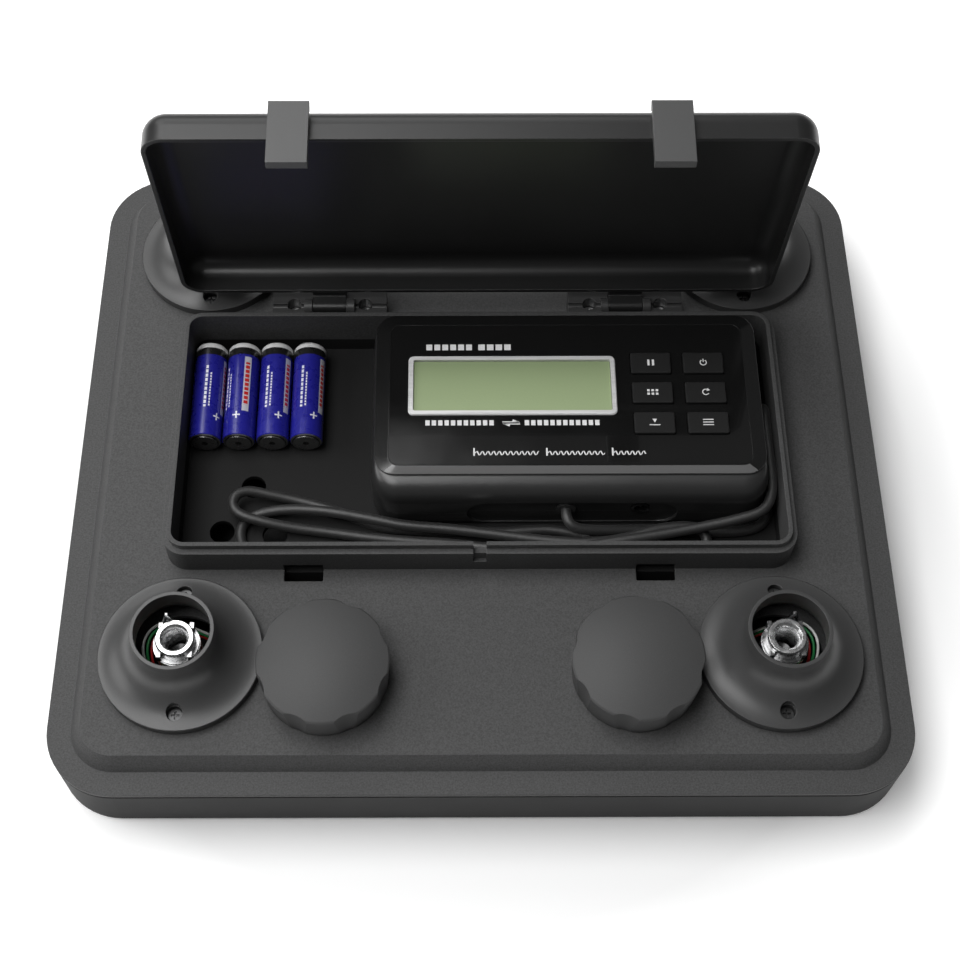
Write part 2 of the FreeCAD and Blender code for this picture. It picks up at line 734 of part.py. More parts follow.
def junction_board():
    """The small board where the four load cells' wires meet the cord."""
    body = new_body("junction_board")
    low = s.deck_floor + 4.0
    slab(body, low, low + 1.6, -30.0, 30.0, -118.0, -84.0, 1.5)
    posts(body, s.deck_floor, low, [(x, y) for x in (-26, 26) for y in (-114, -88)], 2.4)
    for x, width in ((-20.0, 12.0), (-4.0, 9.0), (10.0, 7.0), (21.0, 6.0)):
        slab(body, low + 1.6, low + 5.6, x - width / 2, x + width / 2, -104.0, -96.0, 0.5)


# ---------------------------------------------------------------------------------------------
# Hinges, lid and latches
# ---------------------------------------------------------------------------------------------
def hinge_bracket(name, side):
    """A block behind the compartment with two ears for the pin and two deep screw recesses."""
    body = new_body(f"hinge_bracket_{name}")
    half = s.bracket_width / 2
    gap = s.knuckle_width / 2 + 0.2
    front, back = -s.hinge_behind, size(8.0)
    base_top, block_top = size(5.8), size(11.3)
    axis_z = hinge_z - plateau
    slab(body, 0.0, base_top, -half, half, front, back, 0.8)
    ear = 3.6
    for way in (-1, 1):
        near, far = (gap, half) if way > 0 else (-half, -gap)
        slab(body, base_top, block_top, near, far, front, back, 0.8)
        x0, x1 = (gap, gap + ear) if way > 0 else (-gap - ear, -gap)
        top = 3.8
        extrude_x(body, x0, x1, [
            (-top, base_top),
            (top, base_top),
            (top, axis_z, top),
            (-top, axis_z),
        ])
    holes = [(step * 16.2, 0.9) for step in (-1, 1)]
    bores(body, block_top, 3.0, holes, 3.1)
    bores(body, 3.0, 0.0, holes, 1.8)
    bore_x(body, -half, half, 0.0, axis_z, s.hinge_pin_radius)
    place(body, side * s.hinge_across, hinge_y, plateau)


def lid_shell():
    """The compartment's lid, drawn closed about its hinge axis and turned open."""
    body = new_body("lid_shell")
    front, back = tub_front - hinge_y, tub_back - hinge_y
    rim = ledge - hinge_z
    top = rim + s.lid_height
    wall = s.lid_wall
    slab(body, rim, top, -tub_half, tub_half, front, back, s.tub_corner)
    doc.recompute()
    soften(body, "Fillet", edges_at(body.Shape, top.value), s.lid_round)
    doc.recompute()
    hollow(body, rim.value, wall)
    half = s.knuckle_width / 2
    r = s.knuckle_radius
    for side in (-1, 1):
        middle = side * s.hinge_across
        extrude_x(body, middle - half, middle + half, [
            (r, 0.0),
            (r, 6.0),
            (back, 12.0),
            (back, rim + 0.4),
            (-r, rim - 0.2),
            (-r, 0.0, r),
        ])
        bore_x(body, middle - half, middle + half, 0.0, 0.0, s.hinge_pin_radius + s.hinge_clearance)
        latch = side * s.latch_across
        lug = s.latch_width / 2 - 2.4
        py, pz = latch_pin()
        extrude_x(body, latch - lug, latch + lug, [
            (py, pz - 1.6),
            (py + 6.0, pz - 1.6),
            (py + 6.0, pz + 1.6),
            (py, pz + 1.6, 1.6),
        ])
        bore_x(body, latch - lug, latch + lug, py, pz, s.latch_pin_radius)
    place(body, 0.0, hinge_y, hinge_z, Vector(1, 0, 0), -s.lid_open)


def latch_pin():
    """A latch's pin in the lid's own frame, closed: Y and Z from the hinge axis."""
    return (tub_front - hinge_y - s.latch_stand_off - 0.4, ledge - hinge_z + 11.2)


def latch_clip(name, side):
    """A latch clip on the lid's front wall, hollow behind its pin, with a nose at its end."""
    body = new_body(f"latch_clip_{name}")
    half = s.latch_width / 2
    py, pz = latch_pin()
    wall = tub_front - hinge_y
    inner = wall - s.latch_stand_off
    outer = inner - s.latch_thickness
    rim = ledge - hinge_z
    tip, head = rim - s.latch_below, rim + s.latch_above
    middle = side * s.latch_across
    extrude_x(body, middle - half, middle + half, [
        (inner, head - 2.0),
        (inner - 1.6, head),
        (outer + 0.6, head),
        (outer, head - 0.8),
        (outer, tip),
        (inner + s.latch_nose, tip),
        (inner + s.latch_nose, tip + 1.6),
        (inner, tip + 2.6),
    ])
    bay = s.latch_width / 2 - 2.0
    sketch = sketch_on(body, "YZ_Plane", middle + bay)
    outline(sketch, [(inner, pz - 6.0), (inner, head), (py - 1.9, head), (py - 1.9, pz - 6.0)])
    feature(body, "Pocket", sketch, Length=2 * bay)
    bore_x(body, middle - half, middle + half, py, pz, s.latch_pin_radius + 0.05)
    place(body, 0.0, hinge_y, hinge_z, Vector(1, 0, 0), -s.lid_open)


def latch_pins():
    """The two latch pins, in the lid's lugs."""
    py, pz = latch_pin()
    angle = math.radians(-s.lid_open.value)
    pins = []
    for name, side in (("left", -1), ("right", 1)):
        body = doc.addObject("Part::Cylinder", f"latch_pin_{name}")
        bind(body, "Radius", s.latch_pin_radius)
        bind(body, "Height", s.latch_width - 1.0)
        turned_y = py.value * math.cos(angle) - pz.value * math.sin(angle)
        turned_z = py.value * math.sin(angle) + pz.value * math.cos(angle)
        body.Placement = Placement(Vector(), Rotation(Vector(0, 1, 0), 90))
        text_y = f"({py.text}) * cos(Sizes.lid_open) + ({pz.text}) * sin(Sizes.lid_open)"
        text_z = f"({pz.text}) * cos(Sizes.lid_open) - ({py.text}) * sin(Sizes.lid_open)"
        place(body, side * s.latch_across - s.latch_width / 2 + 0.5,
              hinge_y + Size(turned_y, f"({text_y})"), hinge_z + Size(turned_z, f"({text_z})"))
        pins.append(body)
    group("latch_pins", pins)


def hinge_pins():
    """The two hinge pins, in the brackets' ears."""
    length = s.knuckle_width + 2 * 3.8
    pins = [cylinder(f"hinge_pin_{name}", s.hinge_pin_radius, length,
                     side * s.hinge_across - length / 2, hinge_y, hinge_z, Vector(0, 1, 0), 90.0)
            for name, side in (("left", -1), ("right", 1))]
    group("hinge_pins", pins)


# ---------------------------------------------------------------------------------------------
# Feet and batteries
# ---------------------------------------------------------------------------------------------
KNOBS = {
    "front_left": (-63.8, -107.5, 22.5),
    "front_right": (63.5, -106.5, 31.1),
    "rear_left": (-63.6, 114.9, 11.0),
    "rear_right": (63.6, 114.9, 0.0),
}


def foot_knob(name, x, y, turn):
    """A lobed screw-in foot, lying dome upwards beside its socket."""
    body = new_body(f"foot_knob_{name}")
    rim, top, skirt = s.knob_radius, s.knob_height, s.knob_skirt
    reach, rise = rim - 0.6, top - skirt
    dome = (reach * reach + rise * rise) / (rise * 2)
    spin(body, [
        (0.0, top),
        (0.0, s.knob_cup + 2.5),
        (s.thread_major, s.knob_cup + 2.5),
        (s.thread_major, 8.0),
        (s.thread_major + 2.2, 8.0),
        (s.thread_major + 2.2, s.knob_cup),
        (s.knob_bore - 2.0, s.knob_cup),
        (s.knob_bore, s.knob_cup - 2.0),
        (s.knob_bore, 0.0),
        (rim - 1.4, 0.0),
        (rim - 1.0, 0.4),
        (rim, skirt - 0.6),
        (rim - 0.6, skirt, dome),
    ])
    sketch = sketch_on(body, "XY_Plane", top)
    circles(sketch, [(rim + s.grip_radius - s.grip_depth, 0.0)], s.grip_radius)
    grip = feature(body, "Pocket", sketch, Length=top)
    pattern = body.newObject("PartDesign::PolarPattern", "PolarPattern")
    pattern.Originals = [grip]
    pattern.Axis = (sketch, ["N_Axis"])
    pattern.Angle = 360
    pattern.Occurrences = 8
    body.Tip = pattern
    place(body, x, y, plateau + s.rest_gap, Vector(0, 0, 1), turn)


def foot_stud(name, x, y):
    """The steel M12 stud moulded into a foot knob."""
    body = new_body(f"foot_stud_{name}")
    end = s.knob_cup + 2.5
    spin(body, [
        (0.0, 0.6),
        (s.thread_major - 0.9, 0.6),
        (s.thread_major, 1.5),
        (s.thread_major, end),
        (0.0, end),
    ])
    place(body, x, y, plateau + s.rest_gap)


def battery(name, index):
    """An AA cell lying on the compartment's floor, its flat end to the front."""
    body = new_body(f"battery_{name}")
    r, length = s.battery_radius, s.battery_length
    can = length - 1.3
    spin(body, [
        (0.0, 0.35),
        (0.7, 0.35),
        (1.2, 0.0),
        (5.6, 0.0),
        (5.9, 0.5),
        (r - 0.7, 0.5),
        (r, 1.2),
        (r, can - 1.0),
        (r - 0.7, can),
        (r - 1.5, can),
        (r - 1.8, can - 0.5),
        (3.2, can - 0.5),
        (2.75, can),
        (2.75, length - 0.3),
        (2.45, length),
        (0.0, length),
    ])
    place(body, -121.6 + index * s.battery_pitch, 3.5,
          s.tub_floor_top + s.rest_gap + r, Vector(1, 0, 0), -90.0)


# ---------------------------------------------------------------------------------------------
# Indicator
# ---------------------------------------------------------------------------------------------
ind_bottom = s.tub_floor_top + s.rest_gap
ind_parting = ind_bottom + s.lower_height
ind_shoulder = ind_bottom + s.indicator_height
frame_low = ind_shoulder + 0.3
frame_top = frame_low + s.frame_height
panel_top = frame_top + 0.2
ind_left = s.indicator_x - s.indicator_width / 2
ind_right = s.indicator_x + s.indicator_width / 2
ind_front = s.indicator_y - s.indicator_depth / 2
ind_back = s.indicator_y + s.indicator_depth / 2
port_middle = ind_bottom + 11.3
port_x = s.indicator_x + 1.2
CORD_EXIT = (37.2, -34.0, 43.7)
SOCKET_X = 69.2
GROMMET = (-100.5, -53.2, 32.55)
GROMMET_RADIUS = 3.4


def ind_plan(side, front, back=None):
    """The indicator's four edges, moved inwards by a side and a front amount."""
    back = side if back is None else back
    return (ind_left + side, ind_right - side, ind_front + front, ind_back - back)


def indicator_bosses():
    """Centres of the indicator's four screws."""
    return [(s.indicator_x + dx, s.indicator_y + dy) for dx in (-76, 76) for dy in (-30, 36)]


def key_places():
    """Names and centres of the six keys."""
    names = iter(("hold", "power", "count", "recall", "tare", "mode"))
    places = {}
    for row in (1, 0, -1):
        for column in (-0.5, 0.5):
            places[next(names)] = (s.indicator_x + s.key_x + column * s.key_pitch_x,
                                   s.indicator_y + s.key_y + row * s.key_pitch_y)
    return places


def display_edges(grow):
    """The display opening's four edges, grown by an amount."""
    x, y = s.indicator_x + s.display_x, s.indicator_y + s.display_y
    half_x, half_y = s.display_width / 2 + grow, s.display_depth / 2 + grow
    return (x - half_x, x + half_x, y - half_y, y + half_y)


def cut_port(body):
    """The stadium-shaped connector recess across both shells, and its two holes."""
    sketch = sketch_on(body, "XZ_Plane", -(ind_front - 0.5))
    half = s.port_length / 2
    rounded(sketch, port_x - half, port_x + half, port_middle - s.port_height / 2,
            port_middle + s.port_height / 2, s.port_height / 2 - 0.05)
    feature(body, "Pocket", sketch, Length=s.port_depth + 0.5)
    deep = ind_front + s.indicator_wall + 12.0
    bore_y(body, ind_front, deep, CORD_EXIT[0], CORD_EXIT[2], 3.3)
    bore_y(body, ind_front, deep, SOCKET_X, CORD_EXIT[2], 4.1)


def indicator_lower_shell():
    """The indicator's lower shell with its battery bay."""
    body = new_body("indicator_lower_shell")
    wall = s.indicator_wall
    slab(body, ind_bottom, ind_parting, *ind_plan(0.0, 0.0), s.indicator_corner)
    doc.recompute()
    soften(body, "Fillet", edges_at(body.Shape, ind_bottom.value), 5.0)
    recess(body, ind_parting, ind_bottom + wall, *ind_plan(wall + 3.0, wall + 3.0), 7.0)
    recess(body, ind_parting, ind_bottom + 5.0, *ind_plan(wall, wall), s.indicator_corner - wall)
    posts(body, ind_bottom + wall, ind_parting, indicator_bosses(), 3.8)
    bay = battery_bay(1.3)
    slab(body, ind_bottom, ind_bottom + 17.2, *bay, 1.5)
    recess(body, ind_bottom + 17.2 - 1.2, ind_bottom, *battery_bay(0.0), 0.8)
    recess(body, ind_bottom + 2.0, ind_bottom, *battery_bay(1.0), 1.2)
    bores(body, ind_bottom + 2.2, ind_bottom, indicator_bosses(), 3.2)
    bores(body, ind_parting, ind_bottom + 2.2, indicator_bosses(), 1.6)
    cut_port(body)


def battery_bay(grow):
    """The four edges of the indicator's battery bay."""
    x, y = s.indicator_x - 38.0, s.indicator_y + 9.0
    half_x, half_y = 31.2 + grow, 27.5 + grow
    return (x - half_x, x + half_x, y - half_y, y + half_y)


def battery_door():
    """The door under the battery bay."""
    body = new_body("battery_door")
    slab(body, ind_bottom, ind_bottom + 1.8, *battery_bay(0.8), 1.0)
    x0, x1, y0, y1 = battery_bay(0.0)
    slab(body, ind_bottom + 1.8, ind_bottom + 3.0, x0 + 3.0, x1 - 3.0, y1 - 4.0, y1 - 2.4, 0.4)


def battery_contacts():
    """Four pairs of contact plates at the two ends of the battery bay."""
    x0, x1, y0, y1 = battery_bay(0.0)
    plates = []
    for i in range(4):
        for tag, y in (("a", y0 + 0.2), ("b", y1 - 0.8)):
            box = doc.addObject("Part::Box", f"contact_{i}_{tag}")
            bind(box, "Length", 9.0)
            bind(box, "Width", 0.6)
            bind(box, "Height", 10.0)
            place(box, x0 + 3.3 + i * 15.6, y, ind_bottom + 4.5)
            plates.append(box)
    group("battery_contacts", plates)


def indicator_upper_shell():
    """The upper shell: straight sides, a rounded nose along the front and a window on top."""
    body = new_body("indicator_upper_shell")
    wall = s.indicator_wall
    straight = ind_shoulder - s.nose_radius
    slab(body, ind_parting, straight, *ind_plan(0.0, 0.0), s.indicator_corner)
    sections = []
    for degrees in (0, 24, 46, 66, 90):
        rise, run = math.sin(math.radians(degrees)), 1 - math.cos(math.radians(degrees))
        sections.append((straight + s.nose_radius * rise,
                         *ind_plan(s.shoulder * run, s.nose_radius * run),
                         s.indicator_corner - s.shoulder * run))
    loft(body, "AdditiveLoft", sections)
    recess(body, straight, ind_parting, *ind_plan(wall, wall), s.indicator_corner - wall)
    recess(body, ind_shoulder - wall, ind_parting, *ind_plan(wall + s.shoulder, wall + 9.4), 6.0)
    x0, x1, y0, y1 = ind_plan(12.0, 17.0, 12.0)
    recess(body, ind_shoulder, ind_shoulder - wall, x0, x1, y0, y1, 3.0)
    posts(body, ind_parting, ind_shoulder - wall, indicator_bosses(), 3.4)
    bores(body, ind_shoulder - wall, ind_parting, indicator_bosses(), 1.35)
    cut_port(body)


def cover_frame():
    """The bevelled frame that holds the gloss panel, with windows for display and keys."""
    body = new_body("cover_frame")
    side, front = s.frame_bevel_side, s.frame_bevel_front
    edge = s.shoulder - 1.2
    base = ind_plan(edge, s.nose_radius - 0.6, edge)
    slab(body, frame_low, frame_low + 0.9, *base, 9.0)
    top = (base[0] + side, base[1] - side, base[2] + front, base[3] - side)
    loft(body, "AdditiveLoft", [(frame_low + 0.9, *base, 9.0), (frame_top, *top, 4.5)], ruled=True)
    recess(body, frame_top, frame_top - s.panel_thickness + 0.2, *panel_edges(0.1), 4.1)
    recess(body, frame_top, frame_low, *display_edges(1.3), 1.2)
    for x, y in key_places().values():
        recess(body, frame_top, frame_low, *key_edges(x, y, s.key_clearance), 1.0)


def key_edges(x, y, grow):
    """A key's four edges, grown by an amount."""
    half_x, half_y = s.key_width / 2 + grow, s.key_depth / 2 + grow
    return (x - half_x, x + half_x, y - half_y, y + half_y)


def panel_edges(grow):
    """The gloss panel's four edges."""
    side, front, edge = s.frame_bevel_side, s.frame_bevel_front, s.shoulder - 1.2
    x0, x1, y0, y1 = ind_plan(edge + side + 0.5, s.nose_radius - 0.6 + front + 0.5, edge + side + 0.5)
    return (x0 - grow, x1 + grow, y0 - grow, y1 + grow)


def gloss_panel():
    """The thin gloss panel over the frame."""
    body = new_body("gloss_panel")
    slab(body, panel_top - s.panel_thickness, panel_top, *panel_edges(0.0), 4.0)
    recess(body, panel_top, panel_top - s.panel_thickness, *display_edges(1.2), 1.2)
    for x, y in key_places().values():
        recess(body, panel_top, panel_top - s.panel_thickness,
               *key_edges(x, y, s.key_clearance), 1.0)


def display_frame():
    """The silver frame round the display."""
    body = new_body("display_frame")
    slab(body, panel_top, panel_top + 0.9, *display_edges(s.display_border), 2.4)
    slab(body, frame_low + 0.5, panel_top, *display_edges(1.1), 1.1)
    doc.recompute()
    soften(body, "Chamfer", edges_at(body.Shape, (panel_top + 0.9).value), 0.4)
    recess(body, panel_top + 0.9, frame_low + 0.5, *display_edges(0.0), 0.9)


def display_glass():
    """The liquid-crystal display inside its frame."""
    body = new_body("display_glass")
    slab(body, frame_low - 1.8, panel_top - 0.4, *display_edges(-0.15), 0.7)


def circuit_board():
    """The indicator's board with the display's carrier, the key switches and a chip."""
    body = new_body("circuit_board")
    low = ind_bottom + 20.5
    top = low + 1.6
    x0, x1, y0, y1 = ind_plan(14.0, 19.0, 12.0)
    slab(body, low, top, x0, x1, y0, y1, 2.0)
    slab(body, top, frame_low - 1.8, *display_edges(1.5), 0.8)
    for x, y in key_places().values():
        slab(body, top, top + 3.2, x - 3.0, x + 3.0, y - 3.0, y + 3.0, 0.5)
    slab(body, low - 2.2, low, s.indicator_x + 14.0, s.indicator_x + 26.0,
         s.indicator_y - 6.0, s.indicator_y + 6.0, 0.5)


def key(name, x, y):
    """A key cap with a retaining flange and a stem over its switch."""
    body = new_body(f"key_{name}")
    top = panel_top + s.key_rise
    low = frame_low - 0.3
    slab(body, low - 0.8, low, *key_edges(x, y, 1.2), 1.2)
    cap = slab(body, low, top, *key_edges(x, y, 0.0), 0.9)
    doc.recompute()
    soften(body, "Fillet", edges_at(cap.Shape, top.value), 0.5)
    posts(body, low - 1.6, low - 0.8, [(x, y)], 2.4)


def direct_socket():
    """The power socket in the connector recess, with its centre pin."""
    front, back = ind_front + 0.6, ind_front + 11.0
    depth = back - front
    axis = Vector(1, 0, 0)
    barrel = cylinder("socket_barrel", 4.0, depth, SOCKET_X, back, CORD_EXIT[2], axis, 90.0)
    bore = cylinder("socket_bore", 2.75, 9.0, SOCKET_X, front + 9.0, CORD_EXIT[2], axis, 90.0)
    tube = cut("socket_tube", barrel, bore)
    pin = cylinder("socket_pin", 1.0, depth - 1.5, SOCKET_X, back, CORD_EXIT[2], axis, 90.0)
    node(fuse("power_socket", [tube, pin]), "power_socket")


def strain_relief():
    """The rubber bush where the cord leaves the indicator."""
    axis = Vector(1, 0, 0)
    x, _, z = CORD_EXIT
    front = ind_front
    collar = cylinder("relief_collar", 4.2, s.port_depth, x, front + s.port_depth, z, axis, 90.0)
    neck = cylinder("relief_neck", 3.2, 6.0, x, front + 7.0, z, axis, 90.0)
    node(fuse("cord_strain_relief", [collar, neck]), "cord_strain_relief")


def cord_grommet():
    """The rubber bush where the cord enters the compartment's front wall."""
    axis = Vector(1, 0, 0)
    x, _, z = GROMMET
    bush = cylinder("grommet_bush", GROMMET_RADIUS - 0.05, tub_wall + 1.9,
                    x, tub_front + tub_wall + 1.9, z, axis, 90.0)
    node(bush, "cord_grommet")


# ---------------------------------------------------------------------------------------------
# Cord and wires: straight runs joined by tangent arcs
# ---------------------------------------------------------------------------------------------
CORD_ROUTE = [
    CORD_EXIT, (37.2, -39.4, 43.7), (42.0, -42.2, 41.6), (49.4, -41.4, 38.9), (59.0, -39.8, 35.8),
    (68.5, -38.2, 33.2), (80.0, -37.6, 31.6), (93.0, -38.2, 31.4), (106.0, -38.8, 31.4),
    (117.0, -38.0, 31.4), (124.4, -34.4, 31.4), (126.8, -27.0, 31.5), (126.8, -14.0, 31.7),
    (126.7, 2.0, 31.8), (126.8, 15.9, 31.8), (126.8, 19.7, 38.5), (126.8, 15.9, 45.2),
    (126.7, 2.0, 45.2), (126.8, -12.0, 45.3), (126.8, -26.0, 45.4), (122.6, -35.4, 45.0),
    (111.0, -38.8, 43.8), (95.0, -41.6, 42.0), (77.0, -44.8, 41.2), (59.0, -47.6, 41.2),
    (41.0, -50.2, 39.8), (23.0, -50.2, 36.6), (5.0, -47.0, 33.0), (-12.0, -43.8, 31.4),
    (-30.0, -42.8, 31.4), (-48.0, -41.0, 31.4), (-65.0, -38.4, 31.6), (-81.0, -37.0, 33.2),
    (-93.5, -35.2, 35.6), (-103.5, -32.6, 36.8), (-107.5, -28.2, 36.8), (-106.4, -22.3, 36.6),
    (-101.0, -19.8, 36.0), (-94.0, -20.7, 34.6), (-81.0, -22.6, 32.2), (-68.0, -25.8, 31.4),
    (-56.0, -30.4, 31.4), (-43.0, -35.9, 31.4), (-27.0, -37.3, 31.4), (-8.0, -37.8, 31.4),
    (8.0, -38.6, 31.4), (20.0, -37.6, 31.4), (31.0, -37.0, 31.4), (43.0, -39.4, 31.4),
    (56.0, -44.8, 31.4), (69.0, -49.0, 31.6), (82.0, -50.6, 32.2), (95.4, -50.4, 33.2),
    (98.9, -44.6, 34.8), (95.4, -38.6, 36.3), (86.0, -38.4, 36.7), (76.0, -39.8, 36.9),
    (65.0, -43.8, 36.8), (52.0, -46.0, 36.5), (36.0, -45.8, 36.3), (20.0, -43.8, 36.2),
    (4.0, -41.4, 36.2), (-14.0, -39.0, 36.3), (-32.0, -37.7, 36.4), (-48.0, -34.0, 36.4),
    (-63.0, -30.8, 36.2), (-77.0, -29.0, 35.6), (-88.0, -28.4, 33.6), (-97.6, -29.6, 31.8),
    (-103.6, -34.4, 31.5), (-103.6, -42.4, 31.8), (-100.5, -48.4, 32.55), GROMMET,
]


def tangent_path(points):
    """Straight runs with an arc at each inner point, as large as its two runs allow."""
    points = [Vector(*p) for p in points]
    edges, radii = [], []
    start = points[0]
    for before, corner, after in zip(points, points[1:], points[2:]):
        arriving, leaving = corner - before, after - corner
        shorter = min(arriving.Length, leaving.Length)
        half_turn = arriving.getAngle(leaving) / 2
        reach = 0.45 * shorter
        radius = reach / math.tan(half_turn)
        way_in = Vector(arriving).normalize()
        way_out = Vector(leaving).normalize()
        first, last = corner - way_in * reach, corner + way_out * reach
        inwards = Vector(way_out - way_in).normalize()
        centre = corner + inwards * math.hypot(radius, reach)
        middle = centre - inwards * radius
        edges.append(Part.LineSegment(start, first).toShape())
        edges.append(Part.Arc(first, middle, last).toShape())
        radii.append(radius)
        start = last
    edges.append(Part.LineSegment(start, points[-1]).toShape())
    return Part.Wire(edges), radii


def tube_along(points, radius):
    """A round tube along a tangent path, and what was measured on it."""
    path, radii = tangent_path(points)
    ahead = Vector(*points[1]) - Vector(*points[0])
    profile = Part.Wire([Part.Circle(Vector(*points[0]), ahead, radius).toShape()])
    solid = path.makePipeShell([profile], True, False)
    return solid, path.Length, radii


def indicator_cord():
    """The cord from the indicator, folded along the front of the compartment, to its grommet."""
    solid, length, radii = tube_along(CORD_ROUTE, s.cord_radius.value)
    expected = math.pi * s.cord_radius.value ** 2 * length
    print(f"cord: {length:.0f} mm long, arcs", " ".join(f"{r:.0f}" for r in radii))
    print(f"cord: volume {solid.Volume:.0f}, section times length {expected:.0f} mm3")
    if abs(solid.Volume / expected - 1) > 0.01:
        raise ValueError("the cord's volume is not its section times its length")
    thing = doc.addObject("Part::Feature", "indicator_cord")
    thing.Shape = solid
    node(thing, "indicator_cord")


def cell_wires():
    """Three thin wires from each load cell, round its socket, to the junction board."""
    tubes = []
    for name, (x, y, side) in CORNERS.items():
        x, y = x.value, y.value
        for i in range(3):
            lane = 1.5 * i
            out = side * (11.4 + lane)
            low = s.cell_base.value + s.cell_section.value + 1.2 + lane
            inward = -side
            last_y = -90.0 - lane if y < 0 else -84.6 + lane * 0.5
            points = [
                (x + inward * 26.0, y + 3.0, low),
                (x + inward * 15.0, y + 9.0 + lane * 0.3, low + 6.0),
                (x + out * 0.45, y + 11.6 + lane * 0.8, low + 16.0),
                (x + out, y + 5.0, low + 20.0),
                (x + out, y - 5.0, low + 15.0),
                (x + out * 0.5, y - 11.0 - lane * 0.8, low + 4.0),
                (x + inward * 14.0, y - 13.0 - lane, low + 1.0),
                (x + inward * 40.0, y - 14.0 - lane, low),
            ]
            tubes.append(tube_along(points, 0.55)[0])
    thing = doc.addObject("Part::Feature", "cell_wires")
    thing.Shape = Part.makeCompound(tubes)
    node(thing, "cell_wires")


# ---------------------------------------------------------------------------------------------
# The assembly
# ---------------------------------------------------------------------------------------------
def fasteners():
    """Groups of identical screws."""
    group("housing_screws", [
        screw(f"housing_screw_{i}", x, y, plateau + 0.9, 1.8, 13.0, 2.8, 1.5)
        for i, (x, y) in enumerate(housing_holes())])
    group("hinge_screws", [
        screw(f"hinge_screw_{i}", x, y, plateau + 3.0, 1.2, 5.0, 2.8, 1.8)
        for i, (x, y) in enumerate(hinge_screw_places())])
    group("indicator_screws", [
        screw(f"indicator_screw_{i}", x, y, ind_bottom + 2.2, 1.3, 16.0, 2.9, 1.8, upward=True)
        for i, (x, y) in enumerate(indicator_bosses())])
    bolts = []
    for name, (x, y, side) in CORNERS.items():
        for i, (along, _) in enumerate(cell_bolts()):
            bolts.append(screw(f"cell_bolt_{name}_{i}", x - side * along, y,
                               s.cell_base + s.cell_section, 2.0, 13.0, 3.6, 2.6))
    group("cell_bolts", bolts)


def build():
    """Make every sub-part."""
    platform_deck()
    bottom_cover()
    for name, (x, y, side) in CORNERS.items():
        foot_housing(name, x, y)
        load_cell(name, x, y, side)
        socket_nut(name, x, y)
    group("cell_brackets", [cell_bracket(n, x, y, side) for n, (x, y, side) in CORNERS.items()])
    group("socket_plates", [socket_plate(n, x, y, side) for n, (x, y, side) in CORNERS.items()])
    junction_board()
    for name, side in (("left", -1), ("right", 1)):
        hinge_bracket(name, side)
    hinge_pins()
    lid_shell()
    for name, side in (("left", -1), ("right", 1)):
        latch_clip(name, side)
    latch_pins()
    for name, (x, y, turn) in KNOBS.items():
        foot_knob(name, x, y, turn)
        foot_stud(name, x, y)
    for index in range(4):
        battery(index + 1, index)
    indicator_lower_shell()
    indicator_upper_shell()
    cover_frame()
    gloss_panel()
    display_frame()
    display_glass()
    circuit_board()
    for name, (x, y) in key_places().items():
        key(name, x, y)
    battery_door()
    battery_contacts()
    direct_socket()
    strain_relief()
    cord_grommet()
    indicator_cord()
    cell_wires()
    fasteners()


def check():
    """Stop on any failed object, empty cut or bad shape."""
    for thing in doc.Objects:
        if "Invalid" in thing.State or "Error" in thing.State:
            raise ValueError(f"{thing.Name} failed: {thing.State}")
        if thing.TypeId in ("PartDesign::Pocket", "PartDesign::SubtractiveLoft"):
            removed = thing.BaseFeature.Shape.Volume - thing.Shape.Volume
            if removed < 1e-3:
                raise ValueError(f"{thing.Name} in {thing.getParentGeoFeatureGroup().Label} cuts nothing")
    for thing in NODES:
        if thing.Shape.isNull() or not thing.Shape.isValid():
            raise ValueError(f"{thing.Label} has no valid shape")


def export():
    """Write each sub-part to a file of its own name."""
    os.makedirs("parts", exist_ok=True)
    for thing in NODES:
        thing.Shape.exportStep(f"parts/{thing.Label}.step")
        box = thing.Shape.BoundBox
        print(f"{thing.Label}: {len(thing.Shape.Solids)} solids, {thing.Shape.Volume:.0f} mm3, "
              f"z {box.ZMin:.1f} to {box.ZMax:.1f}")
    print(len(NODES), "sub-parts")


build()
doc.recompute()
check()
export()
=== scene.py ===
# %% [markdown]
# # A platform scale on its back, with its storage compartment open
#
# The scale lies on its weighing deck. Its underside faces up: a wide plastic cover, four bell-shaped
# housings for the screw-in feet, and a shallow compartment that holds the wired indicator, its cord
# and four cells. The rigid shapes come finished from the CAD frame. Blender's share is the looks:
# the cord, the fine parts that CAD leaves plain, and a finish for every surface.

# %% Bring in the frame
import math

